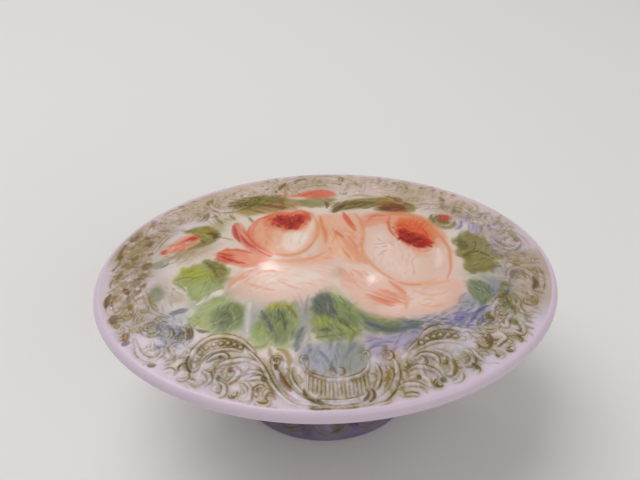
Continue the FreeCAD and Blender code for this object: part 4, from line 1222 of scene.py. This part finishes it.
def make_bowl_sheet(height):
    """The unrolled side of the bowl, from the foot's edge up to the mouth."""
    turn = 2 * math.pi * UNROLLED_RADIUS
    step = turn / SIDE_STEPS
    margin = OVERLAP_STEPS * step
    sheet = Sheet((-turn / 2 - margin, -1.0), (turn / 2 + margin, height + 1.0), step)
    bowl_ground(sheet, height)
    for k in range(-2, 3):
        paint_spray(sheet, turn * k / 4, height * 0.52, -1 if k % 2 else 1)
    for k in range(-FOOT_LOBES // 2, FOOT_LOBES // 2 + 1):
        press_foot_lobe(sheet, turn * k / FOOT_LOBES)
    for k in range(-MOUTH_SWAGS // 2, MOUTH_SWAGS // 2 + 1):
        press_mouth_swag(sheet, turn * k / MOUTH_SWAGS, height - 2.0)
    sheet.settle(1.0)
    paints = ("plum", "dark olive", "violet", "lavender", "smoke")
    for k in range(FOOT_DABS):
        x, y = turn * (rng.random() - 0.5), 1.5 + 7 * rng.random()
        sheet.patch(paints[k % len(paints)], x, y, 2.2, 1.6, 0.5, 360 * rng.random())
    for x in (-7, 7):
        sheet.bristle(("dark olive", "olive", "plum"), x, 6.5, 4.5, 2.6, 70, 26, width=1.2, opacity=0.5)
    sheet.bristle(("lavender", "mist"), 0, 5.5, 2.6, 3.0, 80, 14, width=1.2, opacity=0.5)
    sheet.close(turn, margin)
    return sheet


# ---------------------------------------------------------------- meshes


def dome_height(radius):
    """Height of the lid's top: a shallow parabola, then the plain band."""
    dome = DOME_TOP - (DOME_TOP - RIM_HEIGHT - LIP_ROUND - BAND_RISE) * (radius / BAND_INNER) ** 2
    band = RIM_HEIGHT + LIP_ROUND + BAND_RISE * (LIP_CENTRE - radius) / BAND_WIDTH
    return np.where(radius < BAND_INNER, dome, band)


def arc_points(centre, radius, start, end, count):
    angle = np.radians(np.linspace(start, end, count))
    return [(centre[0] + radius * math.cos(a), centre[1] + radius * math.sin(a)) for a in angle]


def bezier_points(poles, count):
    """Points along a cubic curve, without its first."""
    a, b, c, d = np.array(poles, float)
    t = np.linspace(0, 1, count + 1)[1:, None]
    return list(map(tuple, a * (1 - t) ** 3 + 3 * b * t * (1 - t) ** 2 + 3 * c * t**2 * (1 - t) + d * t**3))


def straight_points(start, end, count):
    """Points from start to end, without start."""
    (x0, y0), (x1, y1) = start, end
    return [(x0 + (x1 - x0) * k / count, y0 + (y1 - y0) * k / count) for k in range(1, count + 1)]


def counted(points, count):
    """The section's points as rings of that many vertices."""
    return [(radius, height, count) for radius, height in points]


def stitch(first, a, second, b):
    """Triangles from a ring of a vertices out to the next ring of b vertices, each ring evenly spaced."""
    i, j = np.arange(a), np.arange(b)
    across = -((a - (2 * i + 1) * b) // (2 * a))
    back = ((2 * j + 1) * a - b) // (2 * b) + 1
    on_first = np.stack([first + i, second + across % b, first + (i + 1) % a], 1)
    on_second = np.stack([second + j, second + (j + 1) % b, first + back % a], 1)
    if a == 1:
        return on_second
    if b == 1:
        return on_first
    return np.vstack([on_first, on_second])


class Rings:
    """Oval rings from one pole of a piece to the other: radius, height, number of vertices."""

    def __init__(self, rings):
        self.radius, self.height, counts = map(np.array, zip(*rings))
        self.counts = counts.astype(int)
        starts = np.cumsum(self.counts) - self.counts
        self.ring = np.repeat(np.arange(len(rings)), self.counts)
        step = np.arange(self.counts.sum()) - starts[self.ring]
        self.theta = 2 * math.pi * step / self.counts[self.ring]
        pairs = zip(starts, self.counts, starts[1:], self.counts[1:])
        self.faces = np.vstack([stitch(*pair) for pair in pairs])
        self.travel = np.concatenate([[0], np.cumsum(np.hypot(np.diff(self.radius), np.diff(self.height)))])

    def points(self, bulge=0.0):
        """Vertices, with every ring's outward normal pushed out by bulge."""
        dr = np.gradient(self.radius, self.travel)
        dz = np.gradient(self.height, self.travel)
        r = self.radius[self.ring] + dz[self.ring] * bulge
        z = self.height[self.ring] - dr[self.ring] * bulge
        return np.stack([r * np.cos(self.theta), OVAL * r * np.sin(self.theta), z], 1)


# Where a piece's two ovals lie in its unwrapping: middle across, middle up, half length.
OUTER_OVAL = (0.41, 0.33, 0.39)
INNER_OVAL = (0.22, 0.82, 0.2)


def linear(colour):
    """sRGB values as linear light."""
    return np.where(colour <= 0.04045, colour / 12.92, ((colour + 0.055) / 1.055) ** 2.4)


def make_mesh(name, rings, points, colour, turning_ring):
    """A smooth closed mesh with its colours, unwrapped as two ovals: up to the turning ring and after it."""
    mesh = bpy.data.meshes.new(name)
    mesh.from_pydata((points * MM).tolist(), [], rings.faces.tolist())
    mesh.polygons.foreach_set("use_smooth", np.ones(len(mesh.polygons), bool))
    mesh.set_sharp_from_angle(angle=math.radians(50))
    paint = mesh.color_attributes.new("paint", "FLOAT_COLOR", "POINT")
    rgba = np.ones((len(points), 4))
    rgba[:, :3] = linear(np.clip(colour, 0, 1))
    paint.data.foreach_set("color", rgba.ravel())
    travel, turn, end = rings.travel[rings.ring], rings.travel[turning_ring], rings.travel[-1]
    outer = rings.ring <= turning_ring
    across, up, length = (np.where(outer, *pair) for pair in zip(OUTER_OVAL, INNER_OVAL))
    reach = length * np.where(outer, travel / turn, (end - travel) / (end - turn))
    uv = np.stack([across + reach * np.cos(rings.theta), up + OVAL * reach * np.sin(rings.theta)], 1)
    layer = mesh.uv_layers.new(name="OFBake")
    corners = np.zeros(len(mesh.loops), int)
    mesh.loops.foreach_get("vertex_index", corners)
    layer.data.foreach_set("uv", uv[corners].ravel())
    mesh.validate()
    piece = bpy.data.objects.new(name, mesh)
    bpy.context.collection.objects.link(piece)
    return piece


def make_lid():
    """Top, lip, seat, locating ring and ceiling, from the middle of the top to the middle of the ceiling."""
    sheet = make_lid_sheet()
    rings = [(0.0, DOME_TOP, 1)]
    for k in range(1, LID_RINGS + 1):
        radius = LIP_CENTRE * k / LID_RINGS
        rings.append((radius, float(dome_height(radius)), LID_RING_GROWTH * k))
    seat_angle = -math.degrees(math.asin((RIM_HEIGHT - SEAT) / LIP_ROUND))
    lip = arc_points((LIP_CENTRE, RIM_HEIGHT), LIP_ROUND, 90, seat_angle, LIP_RINGS)[1:]
    rings += counted(lip, LID_RING_GROWTH * LID_RINGS)
    turning_ring = len(rings) - 1
    low = RING_BOTTOM + RING_EDGE
    under = straight_points(lip[-1], (RING_OUTER, SEAT), EDGE_RINGS)
    under += straight_points((RING_OUTER, SEAT), (RING_OUTER, low), EDGE_RINGS)
    under += arc_points((RING_OUTER - RING_EDGE, low), RING_EDGE, 0, -90, EDGE_RINGS)[1:]
    under += arc_points((RING_INNER + RING_EDGE, low), RING_EDGE, -90, -180, EDGE_RINGS)
    under += straight_points((RING_INNER, low), (RING_INNER, CEILING_TOP - CEILING_DROP), 6)
    for k in range(1, CEILING_RINGS):
        share = 1 - k / CEILING_RINGS
        under.append((RING_INNER * share, CEILING_TOP - CEILING_DROP * share**2))
    rings = Rings(rings + counted(under, LID_UNDER) + [(0.0, CEILING_TOP, 1)])
    points = rings.points()
    on_top = rings.ring <= LID_RINGS
    x, y, z = points[on_top].T
    points[on_top, 2] = z + sheet.sample(sheet.relief, x, y)
    colour = np.tile(paint_of("lip"), (len(points), 1))
    colour[on_top] = sheet.sample(sheet.colour, x, y)
    colour[rings.ring > turning_ring] = paint_of("inside white")
    return make_mesh("lid_shell", rings, points, colour, turning_ring)


def make_bowl():
    """Recess, foot, waist, belly, mouth and well, from the middle of the recess to that of the well."""
    outline = [(0.0, RECESS_DEPTH, 1)]
    for k in range(1, RECESS_RINGS + 1):
        share = k / RECESS_RINGS
        outline.append((RECESS_RADIUS * share, mixed(RECESS_DEPTH, RECESS_WALL, share**2), BOWL_INSIDE))
    outline.append((RECESS_RADIUS + RECESS_SLOPE, 0.0, BOWL_AROUND))
    foot_edge = arc_points((FOOT_RADIUS - FOOT_EDGE, FOOT_EDGE), FOOT_EDGE, -90, 0, EDGE_RINGS)
    outline += counted(foot_edge, BOWL_AROUND)
    foot_ring = len(outline) - 1
    wall = bezier_points([(FOOT_RADIUS, FOOT_EDGE), *WAIST_PULLS, STEM], WAIST_RINGS)
    wall += bezier_points([STEM, *BELLY_PULLS, (MOUTH_RADIUS, BAND_BOTTOM)], BELLY_RINGS)
    wall += straight_points((MOUTH_RADIUS, BAND_BOTTOM), (MOUTH_RADIUS, SEAT - MOUTH_EDGE), 3)
    outline += counted(wall, BOWL_AROUND)
    mouth_ring = len(outline) - 1
    mouth = arc_points((MOUTH_RADIUS - MOUTH_EDGE, SEAT - MOUTH_EDGE), MOUTH_EDGE, 0, 90, 4)[1:]
    mouth += arc_points((MOUTH_INNER + MOUTH_EDGE, SEAT - MOUTH_EDGE), MOUTH_EDGE, 90, 180, 4)
    inside = straight_points((MOUTH_INNER, SEAT - MOUTH_EDGE), (MOUTH_INNER, WELL_TOP), 4)
    inside += bezier_points([(MOUTH_INNER, WELL_TOP), *WELL_PULLS, (0, BOWL_FLOOR)], WELL_RINGS)
    rings = Rings(outline + counted(mouth + inside[:-1], BOWL_INSIDE) + [(0.0, BOWL_FLOOR, 1)])
    rings.faces = rings.faces[:, ::-1]
    up_wall = rings.travel - rings.travel[foot_ring]
    sheet = make_bowl_sheet(up_wall[mouth_ring])
    outside = (rings.ring > GROUND_RING) & (rings.ring <= mouth_ring)
    from_front = (rings.theta + 1.5 * math.pi) % (2 * math.pi) - math.pi
    place = UNROLLED_RADIUS * from_front[outside], up_wall[rings.ring[outside]]
    bulge = np.zeros(len(rings.theta))
    bulge[outside] = sheet.sample(sheet.relief, *place)
    points = rings.points(bulge)
    colour = np.tile(paint_of("inside white"), (len(points), 1))
    colour[outside] = sheet.sample(sheet.colour, *place)
    return make_mesh("bowl_shell", rings, points, colour, mouth_ring)


# ---------------------------------------------------------------- materials


# Noises of the glaze as (scale, detail), and the ranges that two of them are mapped to.
CLOUD = (260, 5)
CLOUD_RANGE = (0.93, 1.05)
GLOSS = (420, 4)
GLOSS_RANGE = (0.12, 0.3)
RIPPLE = (330, 3)
RIPPLE_DEPTH = 0.4 * MM
GLAZE_SURFACE = {"Specular IOR Level": 0.3, "Coat Weight": 0.1, "Coat Roughness": 0.06}
FLOOR_SURFACE = {"Base Color": (0.80, 0.79, 0.77, 1), "Roughness": 0.75}


def set_inputs(node, values):
    for name, value in values.items():
        node.inputs[name].default_value = value


def new_material(name):
    material = bpy.data.materials.new(name)
    material.use_nodes = True
    return material, material.node_tree.nodes, material.node_tree.links


def noise(nodes, links, coordinates, scale, detail):
    texture = nodes.new("ShaderNodeTexNoise")
    set_inputs(texture, {"Scale": scale, "Detail": detail})
    links.new(coordinates.outputs["Object"], texture.inputs["Vector"])
    return texture


def ranged(nodes, links, source, low, high):
    """The source's 0 to 1 mapped to a range."""
    mapped = nodes.new("ShaderNodeMapRange")
    set_inputs(mapped, {"To Min": low, "To Max": high})
    links.new(source.outputs[0], mapped.inputs["Value"])
    return mapped


def glaze(name, ripple_strength):
    """Clear glaze over painted porcelain: cloudy colour, uneven gloss, and the ripple of a fired surface."""
    material, nodes, links = new_material(name)
    shader = nodes["Principled BSDF"]
    coordinates = nodes.new("ShaderNodeTexCoord")
    paint = nodes.new("ShaderNodeAttribute")
    paint.attribute_name = "paint"
    cloud = ranged(nodes, links, noise(nodes, links, coordinates, *CLOUD), *CLOUD_RANGE)
    tint = nodes.new("ShaderNodeMix")
    tint.data_type = "RGBA"
    tint.blend_type = "MULTIPLY"
    tint.inputs["Factor"].default_value = 1.0
    links.new(paint.outputs["Color"], tint.inputs["A"])
    links.new(cloud.outputs["Result"], tint.inputs["B"])
    links.new(tint.outputs["Result"], shader.inputs["Base Color"])
    gloss = ranged(nodes, links, noise(nodes, links, coordinates, *GLOSS), *GLOSS_RANGE)
    links.new(gloss.outputs["Result"], shader.inputs["Roughness"])
    ripple = nodes.new("ShaderNodeBump")
    set_inputs(ripple, {"Strength": ripple_strength, "Distance": RIPPLE_DEPTH})
    links.new(noise(nodes, links, coordinates, *RIPPLE).outputs[0], ripple.inputs["Height"])
    links.new(ripple.outputs["Normal"], shader.inputs["Normal"])
    set_inputs(shader, GLAZE_SURFACE)
    return material


def floor_material():
    material, nodes, _ = new_material("floor_pale")
    set_inputs(nodes["Principled BSDF"], FLOOR_SURFACE)
    return material


# ---------------------------------------------------------------- stage, lights and camera


FLOOR_HALF = 3.0


def make_floor():
    half = FLOOR_HALF
    corners = [(-half, -half, 0), (half, -half, 0), (half, half, 0), (-half, half, 0)]
    mesh = bpy.data.meshes.new("floor")
    mesh.from_pydata(corners, [], [(0, 1, 2, 3)])
    floor = bpy.data.objects.new("floor", mesh)
    bpy.context.collection.objects.link(floor)
    mesh.materials.append(floor_material())


# Lamps as (name, place in metres, width and height in metres, power in watts).
LAMPS = [
    ("key", (-0.25, 0.15, 0.75), (0.6, 0.6), 3.2),
    ("fill", (0.45, -0.6, 0.45), (0.6, 0.5), 1.25),
    ("window", (-0.10, 0.74, 0.66), (0.04, 0.04), 0.22),
    ("second_window", (0.15, 0.68, 0.72), (0.03, 0.03), 0.10),
]
STUDIO_LIGHT = {"Color": (1.0, 0.98, 0.96, 1), "Strength": 0.38}


def make_light(name, place, size, power):
    """A soft rectangular lamp turned to the middle of the lid's rim."""
    lamp = bpy.data.lights.new(name, "AREA")
    lamp.shape = "RECTANGLE"
    lamp.size, lamp.size_y = size
    lamp.energy = power
    light = bpy.data.objects.new(name, lamp)
    bpy.context.collection.objects.link(light)
    light.location = place
    aim = Vector((0, 0, RIM_HEIGHT * MM)) - Vector(place)
    light.rotation_euler = aim.to_track_quat("-Z", "Y").to_euler()


def make_lights():
    for lamp in LAMPS:
        make_light(*lamp)
    world = bpy.data.worlds.new("studio")
    world.use_nodes = True
    set_inputs(world.node_tree.nodes["Background"], STUDIO_LIGHT)
    bpy.context.scene.world = world
    bpy.context.scene.view_settings.view_transform = "Standard"


# The camera's angles in degrees, its distance, slide and lift from the middle of the lid's widest line as
# shares of the lid's half length, and its focal length and sensor in mm.
ELEVATION, YAW, ROLL = 37.05, 2.4, 0.89
DISTANCE, SLIDE, LIFT = 3.0799, 0.0228, -0.1519
FOCAL_LENGTH = 39.375
SENSOR_WIDTH = 36.0


def make_camera():
    """The camera looks down at the front of the box."""
    elevation, yaw, roll = map(math.radians, (ELEVATION, YAW, ROLL))
    distance, slide, lift = (share * LID_RADIUS for share in (DISTANCE, SLIDE, LIFT))
    turn = Matrix.Rotation(-yaw, 3, "Z")
    forward = turn @ Vector((0, math.cos(elevation), -math.sin(elevation)))
    right = turn @ Vector((1, 0, 0))
    up = turn @ Vector((0, math.sin(elevation), math.cos(elevation)))
    centre = Vector((0, 0, RIM_HEIGHT))
    place = centre - distance * forward - slide * right - lift * up
    rolled_right = math.cos(roll) * right - math.sin(roll) * up
    rolled_up = math.sin(roll) * right + math.cos(roll) * up
    camera = bpy.data.objects.new("camera", bpy.data.cameras.new("camera"))
    bpy.context.collection.objects.link(camera)
    axes = Matrix((rolled_right, rolled_up, -forward)).transposed()
    camera.matrix_world = Matrix.Translation(place * MM) @ axes.to_4x4()
    camera.data.sensor_width = SENSOR_WIDTH
    camera.data.lens = FOCAL_LENGTH
    camera.data.clip_start = 0.001
    camera.data.clip_end = 20.0
    bpy.context.scene.camera = camera


lid = make_lid()
lid.data.materials.append(glaze("lid_glaze_paint", 0.25))
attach(lid, "lid")
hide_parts("lid")

bowl = make_bowl()
bowl.data.materials.append(glaze("bowl_glaze_paint", 0.3))
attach(bowl, "bowl")
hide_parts("bowl")

make_floor()
make_lights()
make_camera()
